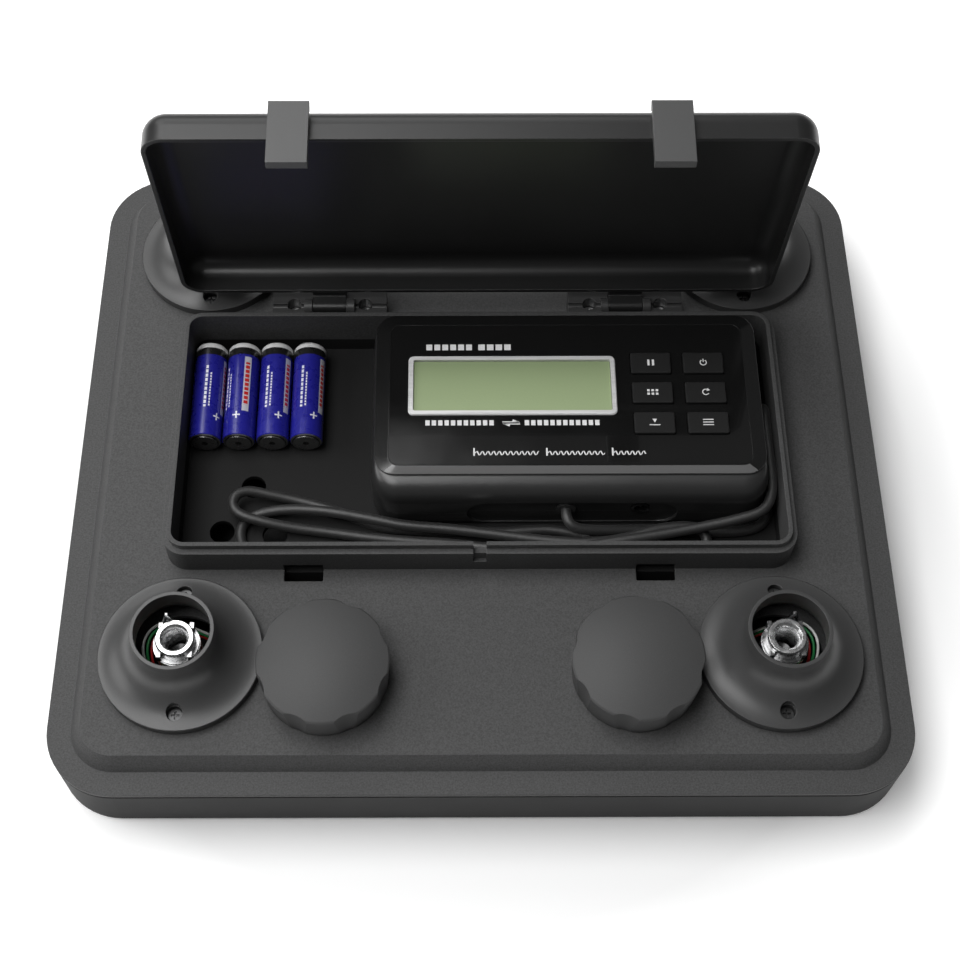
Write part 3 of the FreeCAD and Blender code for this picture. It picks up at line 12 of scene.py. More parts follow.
import bmesh
import bpy
import numpy as np
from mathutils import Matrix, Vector


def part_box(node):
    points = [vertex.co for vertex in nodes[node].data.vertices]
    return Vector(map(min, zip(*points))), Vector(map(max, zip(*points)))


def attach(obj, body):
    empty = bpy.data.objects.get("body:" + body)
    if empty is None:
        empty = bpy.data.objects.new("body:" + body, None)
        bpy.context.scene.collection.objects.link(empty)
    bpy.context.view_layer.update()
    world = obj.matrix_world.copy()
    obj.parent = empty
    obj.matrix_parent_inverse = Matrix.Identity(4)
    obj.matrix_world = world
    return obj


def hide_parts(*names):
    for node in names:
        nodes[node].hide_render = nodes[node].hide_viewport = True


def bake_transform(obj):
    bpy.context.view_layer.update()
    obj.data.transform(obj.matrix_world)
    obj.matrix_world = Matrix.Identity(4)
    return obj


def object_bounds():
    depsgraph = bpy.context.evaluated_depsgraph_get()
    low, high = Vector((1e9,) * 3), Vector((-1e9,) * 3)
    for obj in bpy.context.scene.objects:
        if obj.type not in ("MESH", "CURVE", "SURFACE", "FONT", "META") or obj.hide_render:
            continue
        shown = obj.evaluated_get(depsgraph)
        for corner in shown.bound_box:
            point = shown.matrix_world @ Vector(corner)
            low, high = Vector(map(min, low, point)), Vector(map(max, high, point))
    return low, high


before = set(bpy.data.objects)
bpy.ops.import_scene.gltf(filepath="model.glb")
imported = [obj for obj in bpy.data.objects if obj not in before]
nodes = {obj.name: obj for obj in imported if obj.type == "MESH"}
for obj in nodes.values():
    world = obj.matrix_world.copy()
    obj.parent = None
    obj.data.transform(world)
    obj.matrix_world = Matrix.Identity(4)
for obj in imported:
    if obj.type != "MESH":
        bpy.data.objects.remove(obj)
cad_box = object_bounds()
scene = bpy.context.scene
print("CAD box, mm:", [[round(v * 1000, 1) for v in corner] for corner in cad_box])

# %% [markdown]
# ## The camera
#
# The view is from the front and well above, with a long lens, so that the far side of the platform
# is only a little narrower than the near side. The small shifts move the picture on the sensor
# without tilting the camera, which keeps upright edges as they are.

# %% Place the camera
lens = bpy.data.cameras.new("studio_camera")
lens.sensor_width = 36.0
lens.lens = 62.207
lens.shift_x = 0.02024
lens.shift_y = -0.02657
lens.clip_start = 0.01
lens.clip_end = 20.0
camera = bpy.data.objects.new("studio_camera", lens)
camera.location = (-0.00929, -0.36527, 0.67485)
camera.rotation_euler = [math.radians(a) for a in (29.6186, -0.0208, -0.1765)]
scene.collection.objects.link(camera)
scene.camera = camera
print("camera", [round(v, 3) for v in camera.location], "lens", lens.lens)

# %% [markdown]
# ## The indicator's cord
#
# A soft rubber cord, 4.5 mm thick, joins the indicator to the load cells. It is folded to and fro
# along the front of the compartment. A cord has no corners, so its line is a NURBS curve: the points
# only pull at it. Order 3 keeps the curve close to its points, and the end-point setting makes it
# start and stop exactly where the bushes hold it. Both are set after the points exist, because a
# curve with no points falls back to straight runs.

# %% Draw the cord's line
CORD_RADIUS = 2.25
CORD_ROUTE = [
    (37.2, -34.0, 43.7), (37.2, -39.4, 43.7), (42.0, -42.2, 41.6), (49.4, -41.4, 38.9),
    (59.0, -39.8, 35.8), (68.5, -38.2, 33.2), (80.0, -37.6, 31.6), (93.0, -38.2, 31.4),
    (106.0, -38.8, 31.4), (117.0, -38.0, 31.4), (124.4, -34.4, 31.4), (126.8, -27.0, 31.5),
    (126.8, -14.0, 31.7), (126.7, 2.0, 31.8), (126.8, 15.9, 31.8), (126.8, 19.7, 38.5),
    (126.8, 15.9, 45.2), (126.7, 2.0, 45.2), (126.8, -12.0, 45.3), (126.8, -26.0, 45.4),
    (122.6, -35.4, 45.0), (111.0, -38.8, 43.8), (95.0, -41.6, 42.0), (77.0, -44.8, 41.2),
    (59.0, -47.6, 41.2), (41.0, -50.2, 39.8), (23.0, -50.2, 36.6), (5.0, -47.0, 33.0),
    (-12.0, -43.8, 31.4), (-30.0, -42.8, 31.4), (-48.0, -41.0, 31.4), (-65.0, -38.4, 31.6),
    (-81.0, -37.0, 33.2), (-93.5, -35.2, 35.6), (-103.5, -32.6, 36.8), (-107.5, -28.2, 36.8),
    (-106.4, -22.3, 36.6), (-101.0, -19.8, 36.0), (-94.0, -20.7, 34.6), (-81.0, -22.6, 32.2),
    (-68.0, -25.8, 31.4), (-56.0, -30.4, 31.4), (-43.0, -35.9, 31.4), (-27.0, -37.3, 31.4),
    (-8.0, -37.8, 31.4), (8.0, -38.6, 31.4), (20.0, -37.6, 31.4), (31.0, -37.0, 31.4),
    (43.0, -39.4, 31.4), (56.0, -44.8, 31.4), (69.0, -49.0, 31.6), (82.0, -50.6, 32.2),
    (95.4, -50.4, 33.2), (98.9, -44.6, 34.8), (95.4, -38.6, 36.3), (86.0, -38.4, 36.7),
    (76.0, -39.8, 36.9), (65.0, -43.8, 36.8), (52.0, -46.0, 36.5), (36.0, -45.8, 36.3),
    (20.0, -43.8, 36.2), (4.0, -41.4, 36.2), (-14.0, -39.0, 36.3), (-32.0, -37.7, 36.4),
    (-48.0, -34.0, 36.4), (-63.0, -30.8, 36.2), (-77.0, -29.0, 35.6), (-88.0, -28.4, 33.6),
    (-97.6, -29.6, 31.8), (-103.6, -34.4, 31.5), (-103.6, -42.4, 31.8), (-100.5, -48.4, 32.55),
    (-100.5, -53.2, 32.55),
]


def spline_curve(name, routes, radius, rings=6):
    """A round tube, or with no radius a bare line, along smooth routes given in millimetres."""
    curve = bpy.data.curves.new(name, "CURVE")
    curve.dimensions = "3D"
    curve.resolution_u = rings
    curve.bevel_depth = radius / 1000
    curve.bevel_resolution = 5
    curve.use_fill_caps = radius > 0
    for route in routes:
        spline = curve.splines.new("NURBS")
        spline.points.add(len(route) - 1)
        for point, place in zip(spline.points, route):
            point.co = (*[v / 1000 for v in place], 1.0)
        spline.order_u = 3
        spline.use_endpoint_u = True
    return curve


def put(data, name):
    """Put a mesh, curve or light in the scene under a name."""
    piece = bpy.data.objects.new(name, data)
    scene.collection.objects.link(piece)
    return piece


def as_mesh(curve, name):
    """The mesh that a curve makes."""
    maker = put(curve, name + "_maker")
    bpy.context.view_layer.update()
    shaped = maker.evaluated_get(bpy.context.evaluated_depsgraph_get())
    mesh = bpy.data.meshes.new_from_object(shaped)
    bpy.data.objects.remove(maker)
    mesh.name = name
    return mesh


def show(mesh, name):
    """Put a round mesh in the scene, smooth all over."""
    mesh.shade_smooth()
    return put(mesh, name)


line = as_mesh(spline_curve("cord_line", [CORD_ROUTE], 0.0), "cord_line")

# %% [markdown]
# Most of the cord stays in the compartment, and its first few centimetres go up with the indicator
# when that is lifted out. Here the cord is one round tube along the line, and it takes the place of
# the CAD node indicator_cord, which is hidden.

# %% Make the cord
cord_curve = spline_curve("cord_tube", [CORD_ROUTE], CORD_RADIUS)
cord = show(as_mesh(cord_curve, "cord_tube"), "cord_tube")
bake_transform(cord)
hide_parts("indicator_cord")

# %% [markdown]
# ## Shader maths in plain Python
#
# A material is a graph of nodes. Written out node by node it is hard to read, so two small classes
# let the graph be written as arithmetic. `Flow` stands for one output socket, and `a * 2 + b` adds
# the Math nodes. `Finish` is one material: its `node` method makes any other node from its type, its
# settings and its inputs. Colours never pass through Math nodes, which would turn them grey: they are
# blended with `mix`.

# %% The socket wrapper
class Flow:
    """One output socket. Arithmetic on it adds Math nodes to its tree."""

    def __init__(self, finish, socket):
        self.finish = finish
        self.socket = socket

    def maths(self, operation, *values):
        """A Math node on these values."""
        return self.finish.node("Math", {"operation": operation}, dict(enumerate(values)))

    def __add__(self, other):
        return self.maths("ADD", self, other)

    def __sub__(self, other):
        return self.maths("SUBTRACT", self, other)

    def __mul__(self, other):
        return self.maths("MULTIPLY", self, other)

    def __gt__(self, other):
        return self.maths("GREATER_THAN", self, other)

    def __lt__(self, other):
        return self.maths("LESS_THAN", self, other)

    def __pow__(self, other):
        return self.maths("POWER", self, other)

    def __rsub__(self, other):
        return self.maths("SUBTRACT", other, self)

    def __abs__(self):
        return self.maths("ABSOLUTE", self)

    def ramp(self, low, high, start=0.0, end=1.0):
        """Maps low..high to start..end, and stays within it."""
        ends = {0: self, 1: low, 2: high, 3: start, 4: end}
        return self.finish.node("MapRange", {"clamp": True}, ends)

    def repeat(self, length):
        """The value modulo a length: a saw-tooth."""
        return self.maths("FLOORED_MODULO", self, length)


class Finish:
    """One material round a Principled shader."""

    def __init__(self, name, **uniform):
        self.material = bpy.data.materials.new(name)
        self.material.use_nodes = True
        self.tree = self.material.node_tree
        self.shader = next(n for n in self.tree.nodes if n.type == "BSDF_PRINCIPLED")
        for socket, value in uniform.items():
            self.set(socket.replace("_", " "), value)

    def set(self, socket, value):
        """Set or link one of the shader's own sockets."""
        self.join(self.shader.inputs[socket], value)
        return self

    def join(self, socket, value):
        """Link a Flow to a socket, or set the socket's number, colour or vector."""
        if isinstance(value, Flow):
            self.tree.links.new(value.socket, socket)
        else:
            socket.default_value = value

    def node(self, kind, settings=None, inputs=None, output=0):
        """Any node: its settings first, then its inputs, by name or by number."""
        made = self.tree.nodes.new("ShaderNode" + kind)
        for key, value in (settings or {}).items():
            setattr(made, key, value)
        for key, value in (inputs or {}).items():
            self.join(made.inputs[key], value)
        return Flow(self, made.outputs[output])

    def mix(self, amount, low, high):
        """A colour between two colours."""
        return self.node("Mix", {"data_type": "RGBA"}, {0: amount, 6: low, 7: high}, output=2)

    def overlay(self, mask, colour):
        """Lay a colour over the base colour, where the mask is 1."""
        under = self.shader.inputs["Base Color"].links[0].from_socket
        self.set("Base Color", self.mix(mask, Flow(self, under), colour))

    def place(self):
        """The surface's own place in the row frame, in metres."""
        return self.node("TexCoord", output="Object")

    def split(self, vector):
        """A vector's three parts."""
        parts = self.node("SeparateXYZ", None, {0: vector}).socket.node.outputs
        return [Flow(self, part) for part in parts]

    def noise(self, size, detail=2.0, roughness=0.5):
        """Cloudy noise whose lumps are about size metres across, from 0 to 1."""
        return self.node("TexNoise", None, {"Vector": self.place(), "Scale": 1 / size,
                                            "Detail": detail, "Roughness": roughness})

    def streaks(self, stretch, detail):
        """Noise drawn out into lines: stretch is its number of lumps in a metre along X, Y and Z."""
        drawn = self.node("VectorMath", {"operation": "MULTIPLY"}, {0: self.place(), 1: stretch})
        return self.node("TexNoise", None, {"Vector": drawn, "Scale": 1.0, "Detail": detail})

    def bump(self, height, depth, base=None):
        """A bumped normal: height from 0 to 1 stands for depth metres."""
        inputs = {"Height": height, "Distance": depth, "Strength": 1.0}
        if base is not None:
            inputs["Normal"] = base
        return self.node("Bump", None, inputs)

    def soft_edge(self, radius):
        """A normal that rolls over edges, and a mask that is 1 just there, for painting the edges
        lighter.
        """
        rolled = self.node("Bevel", {"samples": 6}, {"Radius": radius})
        flat = self.node("NewGeometry", output="Normal")
        agree = {"operation": "DOT_PRODUCT"}
        facing = self.node("VectorMath", agree, {0: rolled, 1: flat}, output=1)
        return rolled, facing.ramp(0.995, 0.80)


def grey(value, tint=0.0):
    """A neutral colour with a slight cool tint."""
    return (value, value * (1 + 0.4 * tint), value * (1 + tint), 1.0)


def wear(piece, finish):
    """Give a piece one finish, in place of whatever it came with."""
    piece.data.materials.clear()
    piece.data.materials.append(finish.material)


print("socket wrapper ready")

# %% [markdown]
# ## Moulded plastic
#
# Nearly everything here is injection-moulded black plastic, and it differs only in its texture.
# The cover has an even spark-eroded grain: tiny pits less than a millimetre wide that scatter
# light and make black look grey. Grain is too fine to model, so it is a bump. Two more things sell
# it: slightly uneven roughness from handling, and edges that catch the light because no moulded
# edge is perfectly sharp. The Bevel node rolls the normal over those edges without touching the CAD
# mesh, and the edges are also painted lighter: a painted highlight, with some edge wear.

# %% A recipe for moulded plastic
def moulded(name, shade, rough, grain=0.00035, depth=0.00003, edge=0.0005, lift=0.05, speck=0.25,
            shine=0.35):
    """Grained plastic. Grain and edge are sizes in metres, and lift is how much lighter the edges are
    painted, a painted highlight with some edge wear.
    """
    finish = Finish(name, IOR=1.5, Specular_IOR_Level=shine)
    rolled, edge_wear_and_highlight = finish.soft_edge(edge)
    pits = finish.noise(grain, 3.0, 0.6)
    clouds = finish.noise(0.06, 3.0)
    pit, peak = grey(shade * (1 - speck)), grey(shade * (1 + speck), 0.01)
    tone = finish.mix(pits.ramp(0.3, 0.7), pit, peak)
    # The edges are painted lighter: a painted highlight, with some edge wear.
    finish.set("Base Color", finish.mix(edge_wear_and_highlight * 0.6, tone, grey(shade + lift)))
    uneven = clouds.ramp(0.3, 0.7, -0.03, 0.03)
    finish.set("Roughness", pits.ramp(0.2, 0.8, rough - 0.06, rough + 0.06) + uneven)
    finish.set("Normal", finish.bump(pits, depth, rolled))
    return finish


cover_grain = moulded("cover_grain", 0.060, 0.60, grain=0.0007, depth=0.00004, shine=0.20)
deck_grain = moulded("deck_grain", 0.030, 0.60, grain=0.0007, shine=0.12)
housing_satin = moulded("housing_satin", 0.046, 0.36, depth=0.000012, edge=0.0004, speck=0.1,
                        shine=0.4)
knob_satin = moulded("knob_satin", 0.056, 0.52, depth=0.000016, speck=0.12, shine=0.25)
lid_satin = moulded("lid_satin", 0.012, 0.36, depth=0.000010, edge=0.0006, speck=0.1, shine=0.45)
clip_satin = moulded("clip_satin", 0.062, 0.42, depth=0.000010, edge=0.0004, speck=0.08, shine=0.4)
shell_satin = moulded("shell_satin", 0.020, 0.34, depth=0.000006, edge=0.0004, lift=0.03,
                      speck=0.08, shine=0.6)
bevel_satin = moulded("bevel_satin", 0.008, 0.22, depth=0.000004, edge=0.0003, lift=0.06,
                      speck=0.06, shine=0.5)

# The indicator's frame is black, and the slope that faces the user is painted lighter: a painted
# highlight where that slope catches the lamps.
FACES_FRONT = -0.35  # a normal whose Y is below this belongs to that slope
lean = bevel_satin.split(bevel_satin.node("NewGeometry", output="Normal"))[1]
bevel_satin.overlay(lean < FACES_FRONT, grey(0.12))

# Inside the compartment the colour is painted darker, a painted shade for the shadow that falls in
# it, and the roughness is raised there to spread its glare.
POCKET_TOP = 0.0372
POCKET_MIDDLE_Y = 0.0016
POCKET_HALF_WIDTH = 0.134
POCKET_HALF_DEPTH = 0.0615
across, deep, up = cover_grain.split(cover_grain.place())
shaded_pocket = (up < POCKET_TOP) * (abs(across) < POCKET_HALF_WIDTH)
shaded_pocket = shaded_pocket * (abs(deep - POCKET_MIDDLE_Y) < POCKET_HALF_DEPTH)
cover_grain.overlay(shaded_pocket, grey(0.010))
cover_grain.set("Roughness", shaded_pocket.ramp(0, 1, 0.60, 0.75))
print("eight plastics")

# %% [markdown]
# ## Gloss, display and keys
#
# The indicator's top is a glossy printed panel. Its look is all reflection: nearly black, smooth,
# with a clear coat. The display is a plain reflective liquid crystal, grey-green, and it lies deep in
# its window, so its far edge is in shade. The keys are soft silicone rubber with a faint haze.

# %% Panel, display and key finishes
panel_gloss = Finish("panel_gloss", Base_Color=grey(0.006), Coat_Weight=0.6, Coat_Roughness=0.03,
                     IOR=1.48)
haze = panel_gloss.noise(0.02, 4.0)
panel_gloss.set("Roughness", haze.ramp(0.3, 0.7, 0.09, 0.16))

display_low, display_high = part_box("display_glass")
display_green = Finish("display_green", IOR=1.45, Coat_Weight=0.25, Coat_Roughness=0.1)
deep = display_green.split(display_green.place())[1]
fade = deep.ramp(display_low.y, display_high.y)
haze = display_green.noise(0.0008, 1.0)
LIT, SHADED, HAZY = (0.300, 0.375, 0.205, 1), (0.205, 0.262, 0.140, 1), (0.24, 0.30, 0.17, 1)
shade = display_green.mix(fade ** 3.0, LIT, SHADED)
shade = display_green.mix(haze.ramp(0.35, 0.65) * 0.12, shade, HAZY)
display_green.set("Base Color", shade)
display_green.set("Roughness", haze.ramp(0.3, 0.7, 0.30, 0.38))

display_silver = Finish("display_silver", Metallic=0.3, IOR=1.5)
brushed = display_silver.streaks((40, 900, 900), 3.0)
display_silver.set("Base Color", display_silver.mix(brushed.ramp(0.3, 0.7), grey(0.60), grey(0.74)))
display_silver.set("Roughness", brushed.ramp(0.3, 0.7, 0.28, 0.40))

key_rubber = Finish("key_rubber", IOR=1.42, Specular_IOR_Level=0.25)
rolled, edge_wear_and_highlight = key_rubber.soft_edge(0.0005)
dust = key_rubber.noise(0.0006, 3.0)
skin = key_rubber.mix(dust, grey(0.007), grey(0.012))
# The key edges are painted lighter: a painted highlight, with some edge wear.
key_rubber.set("Base Color", key_rubber.mix(edge_wear_and_highlight * 0.7, skin, grey(0.05)))
key_rubber.set("Roughness", dust.ramp(0.3, 0.7, 0.55, 0.68))
key_rubber.set("Normal", key_rubber.bump(dust, 0.00002, rolled))
print("panel, display and key finishes")

# %% [markdown]
# ## Metals, cord and bushes
#
# The threaded sockets are bright nickel or chrome, the screws and studs are zinc-plated steel, and
# the load cells are milled aluminium with fine tool lines. Bare metal is never one grey: a little
# roughness noise breaks up its highlights. The cord is matte rubber with a fine skin.

# %% A recipe for metal
def metal(name, shade, rough, stretch=(400, 400, 400), tint=0.01):
    """Bare or plated metal with faint tool lines."""
    finish = Finish(name, Metallic=1.0)
    lines = finish.streaks(stretch, 4.0)
    rolled = finish.soft_edge(0.0002)[0]
    tone = finish.mix(lines.ramp(0.3, 0.7), grey(shade * 0.86, tint), grey(shade, tint))
    finish.set("Base Color", tone)
    finish.set("Roughness", lines.ramp(0.25, 0.75, rough * 0.75, rough * 1.3))
    finish.set("Normal", finish.bump(lines, 0.0000012, rolled))
    return finish


socket_bright = metal("socket_bright", 0.72, 0.26)
plate_bright = metal("plate_bright", 0.34, 0.26)
zinc = metal("zinc", 0.60, 0.32)
screw_dark = metal("screw_dark", 0.07, 0.36)
ground_pin = metal("ground_pin", 0.60, 0.25, (60, 1200, 1200))
milled = metal("milled", 0.80, 0.30, (60, 1500, 1500))
nickel = metal("nickel", 0.74, 0.24)

# The bores are deep and see little light, so their walls darken towards the bottom.
SOCKET_X = 123.5
SOCKET_FRONT_Y = -99.0
SOCKET_REAR_Y = 104.7
THREAD_BOTTOM = 41.5
BORE_REACH = 0.0053  # metres from the socket's axis, just past the bore's wall
middle_y = (SOCKET_REAR_Y + SOCKET_FRONT_Y) / 2000
half_y = (SOCKET_REAR_Y - SOCKET_FRONT_Y) / 2000
across, deep, up = socket_bright.split(socket_bright.place())
aside, along_y = abs(across) - SOCKET_X / 1000, abs(deep - middle_y) - half_y
reach = (aside ** 2.0 + along_y ** 2.0) ** 0.5
down = (reach < BORE_REACH) * up.ramp(0.0550, THREAD_BOTTOM / 1000, 0.0, 0.95)
socket_bright.overlay(down, grey(0.02))


def rubber(name, shade, rough):
    """Matte rubber with a fine skin."""
    finish = Finish(name, IOR=1.5, Sheen_Weight=0.05, Sheen_Roughness=0.4)
    skin = finish.noise(0.0009, 4.0, 0.6)
    finish.set("Base Color", finish.mix(skin.ramp(0.3, 0.7), grey(shade * 0.8), grey(shade * 1.25)))
    finish.set("Roughness", skin.ramp(0.3, 0.7, rough - 0.05, rough + 0.07))
    finish.set("Normal", finish.bump(skin, 0.00004))
    return finish


cord_matte = rubber("cord_matte", 0.022, 0.46)
bush_matte = rubber("bush_matte", 0.016, 0.55)

board_green = Finish("board_green", Coat_Weight=0.4, Coat_Roughness=0.15, IOR=1.5)
weave = board_green.noise(0.0015, 3.0)
DARK_GREEN, GREEN = (0.008, 0.07, 0.022, 1), (0.016, 0.12, 0.04, 1)
board_green.set("Base Color", board_green.mix(weave.ramp(0.3, 0.7), DARK_GREEN, GREEN))
board_green.set("Roughness", weave.ramp(0.3, 0.7, 0.32, 0.45))
print("metals, rubbers and board")

# %% [markdown]
# ## The cells
#
# Each AA cell has a steel can in a printed plastic sleeve: deep blue, with a black band and a bright
# ring at the far end, printed stripes along its length and a plus sign by its button. The print is
# made from coordinates alone. A point's place along the cell picks the band, and its angle round the
# cell picks the stripe. Lettering is left out: short plain bars stand where it would be.

# %% Paint one cell's sleeve
BLUE, DEEP_BLUE = (0.015, 0.015, 0.255, 1), (0.012, 0.012, 0.220, 1)
PALE, RED, WHITE = (0.50, 0.50, 0.56, 1), (0.52, 0.02, 0.02, 1), (0.72, 0.72, 0.78, 1)
# Radii are in metres, and places along the cell in millimetres from the button's end.
CELL_RADIUS = 0.00725
SLEEVE_RADIUS = 0.0064  # what lies nearer the axis is a bare end
DIMPLE_RADIUS = 0.0014
GROOVE_START, GROOVE_END = 0.0057, 0.0062
SLEEVE_START, SLEEVE_END = 0.9, 49.2
BAND_START, BAND_END = 42.8, 46.5
RING_START = 46.4


def sleeve(name, turn):
    """The printed sleeve of one cell, turned about the cell's axis by some degrees."""
    low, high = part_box(name)
    finish = Finish(name + "_print", IOR=1.5, Coat_Weight=0.5, Coat_Roughness=0.12)
    x, y, z = finish.split(finish.place())
    aside, rise = x - (low.x + high.x) / 2, z - (low.z + high.z) / 2
    radius = (aside ** 2.0 + rise ** 2.0) ** 0.5
    arc = (aside.maths("ARCTAN2", aside, rise) + math.radians(turn)) * (CELL_RADIUS * 1000)
    from_button = (y - low.y) * 1000

    def between(start, end):
        """1 between two distances from the button's end, in millimetres."""
        return (from_button > start) * (from_button < end)

    def bar(middle, width, start, end):
        """A printed bar: its middle round the cell and its two ends along it, in millimetres."""
        return (abs(arc - middle) < width / 2) * between(start, end)

    letters = from_button.repeat(2.3) > 0.65
    small_letters = from_button.repeat(1.5) > 0.5
    words = bar(-2.6, 1.1, 15.0, 37.0) * letters + bar(-0.7, 0.7, 15.0, 33.0) * small_letters
    plus = bar(3.4, 0.7, 9.0, 12.6) + bar(3.4, 3.4, 10.45, 11.15)
    grain = finish.noise(0.004, 2.0)
    colour = finish.mix(grain.ramp(0.2, 0.8), DEEP_BLUE, BLUE)
    colour = finish.mix(bar(7.2, 3.2, 13.0, 41.5), colour, PALE)
    colour = finish.mix(bar(7.2, 1.9, 16.0, 38.5) * letters, colour, RED)
    colour = finish.mix((words + plus).ramp(0, 1), colour, WHITE)
    colour = finish.mix(between(BAND_START, BAND_END), colour, grey(0.008))
    colour = finish.mix(from_button > RING_START, colour, grey(0.62))

    groove = (radius > GROOVE_START) * (radius < GROOVE_END)
    shaded = (radius < DIMPLE_RADIUS) + groove
    steel = finish.mix(shaded.ramp(0, 1), grey(0.42), grey(0.08))
    printed = between(SLEEVE_START, SLEEVE_END) * (radius > SLEEVE_RADIUS)
    finish.set("Base Color", finish.mix(printed, steel, colour))
    finish.set("Metallic", (1 - printed).ramp(0, 1, 0.0, 1.0))
    finish.set("Roughness", grain.ramp(0.3, 0.7, 0.24, 0.34))
    return finish


for index, turn in ((1, -18), (2, 34), (3, 4), (4, -2)):
    cell = f"battery_{index}"
    wear(nodes[cell], sleeve(cell, turn))
print("four printed cells")

# %% [markdown]
# ## Dress the CAD nodes
#
# A CAD node keeps its mesh and gets a finish. `wear` clears the node's own slots first, so that no
# face is left on the flat colour it came with.

# %% Assign the finishes
CORNERS = ("front_left", "front_right", "rear_left", "rear_right")
KEYS = ("hold", "power", "count", "recall", "tare", "mode")
DRESS = {
    cover_grain: ["bottom_cover"],
    deck_grain: ["platform_deck"],
    housing_satin: [f"foot_housing_{c}" for c in CORNERS]
    + ["hinge_bracket_left", "hinge_bracket_right"],
    knob_satin: [f"foot_knob_{c}" for c in CORNERS],
    lid_satin: ["lid_shell"],
    clip_satin: ["latch_clip_left", "latch_clip_right"],
    shell_satin: ["indicator_lower_shell", "indicator_upper_shell", "battery_door"],
    bevel_satin: ["cover_frame"],
    panel_gloss: ["gloss_panel", "power_socket"],
    display_green: ["display_glass"],
    display_silver: ["display_frame"],
    key_rubber: [f"key_{k}" for k in KEYS],
    socket_bright: [f"socket_nut_{c}" for c in CORNERS],
    plate_bright: ["socket_plates"],
    screw_dark: ["housing_screws"],
    zinc: ["cell_brackets", "hinge_screws", "indicator_screws", "cell_bolts"]
    + [f"foot_stud_{c}" for c in CORNERS],
    ground_pin: ["hinge_pins", "latch_pins"],
    milled: [f"load_cell_{c}" for c in CORNERS],
    nickel: ["battery_contacts"],
    bush_matte: ["cord_strain_relief", "cord_grommet"],
    board_green: ["circuit_board", "junction_board"],
}
for finish, names in DRESS.items():
    for name in names:
        wear(nodes[name], finish)
wear(cord, cord_matte)
print(sum(len(names) for names in DRESS.values()), "nodes dressed")

# %% [markdown]
# ## The cells' wires
#
# Three thin wires leave each load cell, red, green and white, and curl up round the socket before
# they run to the junction board. CAD holds them as plain tubes. Here each colour is one smooth curve
# per corner, so that the bends are soft and the insulation has its own gloss.

# %% Lay the wires
def wire_route(x, y, side, lane):
    """One wire's points, in millimetres, from a cell's strain holes round its socket."""
    gap = 1.5 * lane
    out = side * (11.4 + gap)
    low = 26.2 + gap
    return [(x - side * 26.0, y + 3.0, low), (x - side * 15.0, y + 9.0 + gap * 0.3, low + 6.0),
            (x + out * 0.45, y + 11.6 + gap * 0.8, low + 16.0), (x + out, y + 5.0, low + 20.0),
            (x + out, y - 5.0, low + 15.0), (x + out * 0.5, y - 11.0 - gap * 0.8, low + 4.0),
            (x - side * 14.0, y - 13.0 - gap, low + 1.0), (x - side * 40.0, y - 14.0 - gap, low)]


SOCKETS = {f"{end}_{side}": (sign * SOCKET_X, y, sign)
           for end, y in (("front", SOCKET_FRONT_Y), ("rear", SOCKET_REAR_Y))
           for side, sign in (("left", -1), ("right", 1))}
WIRE_RADIUS = 0.55
WIRE_COLOURS = {"red": (0.42, 0.012, 0.012, 1), "green": (0.015, 0.22, 0.06, 1),
                "white": (0.62, 0.62, 0.60, 1)}
for lane, (colour, value) in enumerate(WIRE_COLOURS.items()):
    routes = [wire_route(x, y, side, lane) for x, y, side in SOCKETS.values()]
    name = f"wire_{colour}"
    wire = show(as_mesh(spline_curve(name, routes, WIRE_RADIUS), name), name)
    insulation = Finish(f"insulation_{colour}", IOR=1.5)
    skin = insulation.noise(0.002, 2.0)
    insulation.set("Base Color", insulation.mix(skin * 0.3, value, grey(0.02)))
    insulation.set("Roughness", skin.ramp(0.3, 0.7, 0.32, 0.44))
    wear(wire, insulation)
    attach(wire, "scale_base")
    if lane == 0:
        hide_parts("cell_wires")
print("twelve wires in three colours")

# %% [markdown]
# ## Threads in the sockets and round the studs
#
# Each socket is cut with an M12 thread. CAD keeps a plain bore of the core radius, because that is
# what the fit is measured on. What the eye sees is a stack of bright ridges, so a helix is built
# here: a small triangle is carried round and up the bore, 1.75 mm for each turn. The loose feet's
# studs get the same helix outside, with a lower ridge.

# %% Cut the threads
PITCH = 1.75
TURN_STEPS = 40
RIDGE_HALF = 0.42  # half the ridge's foot, as a share of the pitch
RUN_OUT = 0.4  # turns over which the ridge fades at each end
LEAST_FADE = 0.03  # keeps the ridge's tip off its foot
THREAD_TOP = 56.4


def as_piece(mesh, name, finish):
    """Turn a bmesh into a piece in the scene with one finish."""
    bmesh.ops.recalc_face_normals(mesh, faces=mesh.faces)
    data = bpy.data.meshes.new(name)
    mesh.to_mesh(data)
    mesh.free()
    data.materials.append(finish.material)
    return put(data, name)


def helix_ridge(name, centre, bottom, top, radius, inward, finish):
    """A triangular ridge that winds up a bore, or with inward below 0 round a stud."""
    mesh = bmesh.new()
    last = int((top - bottom) / PITCH * TURN_STEPS)
    rings = []
    for i in range(last + 1):
        angle = 2 * math.pi * i / TURN_STEPS
        height = bottom + PITCH * i / TURN_STEPS
        fade = min(1.0, i / (TURN_STEPS * RUN_OUT), (last - i) / (TURN_STEPS * RUN_OUT))
        ring = []
        for depth, rise in ((0.0, -RIDGE_HALF), (1.0, 0.0), (0.0, RIDGE_HALF)):
            r = radius - inward * depth * max(fade, LEAST_FADE)
            spot = (centre[0] + r * math.cos(angle), centre[1] + r * math.sin(angle),
                    height + rise * PITCH)
            ring.append(mesh.verts.new(Vector(spot) / 1000))
        rings.append(ring)
    for lower, upper in zip(rings, rings[1:]):
        for a in range(3):
            b = (a + 1) % 3
            mesh.faces.new((lower[a], lower[b], upper[b], upper[a]))
    mesh.faces.new(rings[0][::-1])
    mesh.faces.new(rings[-1])
    return as_piece(mesh, name, finish)


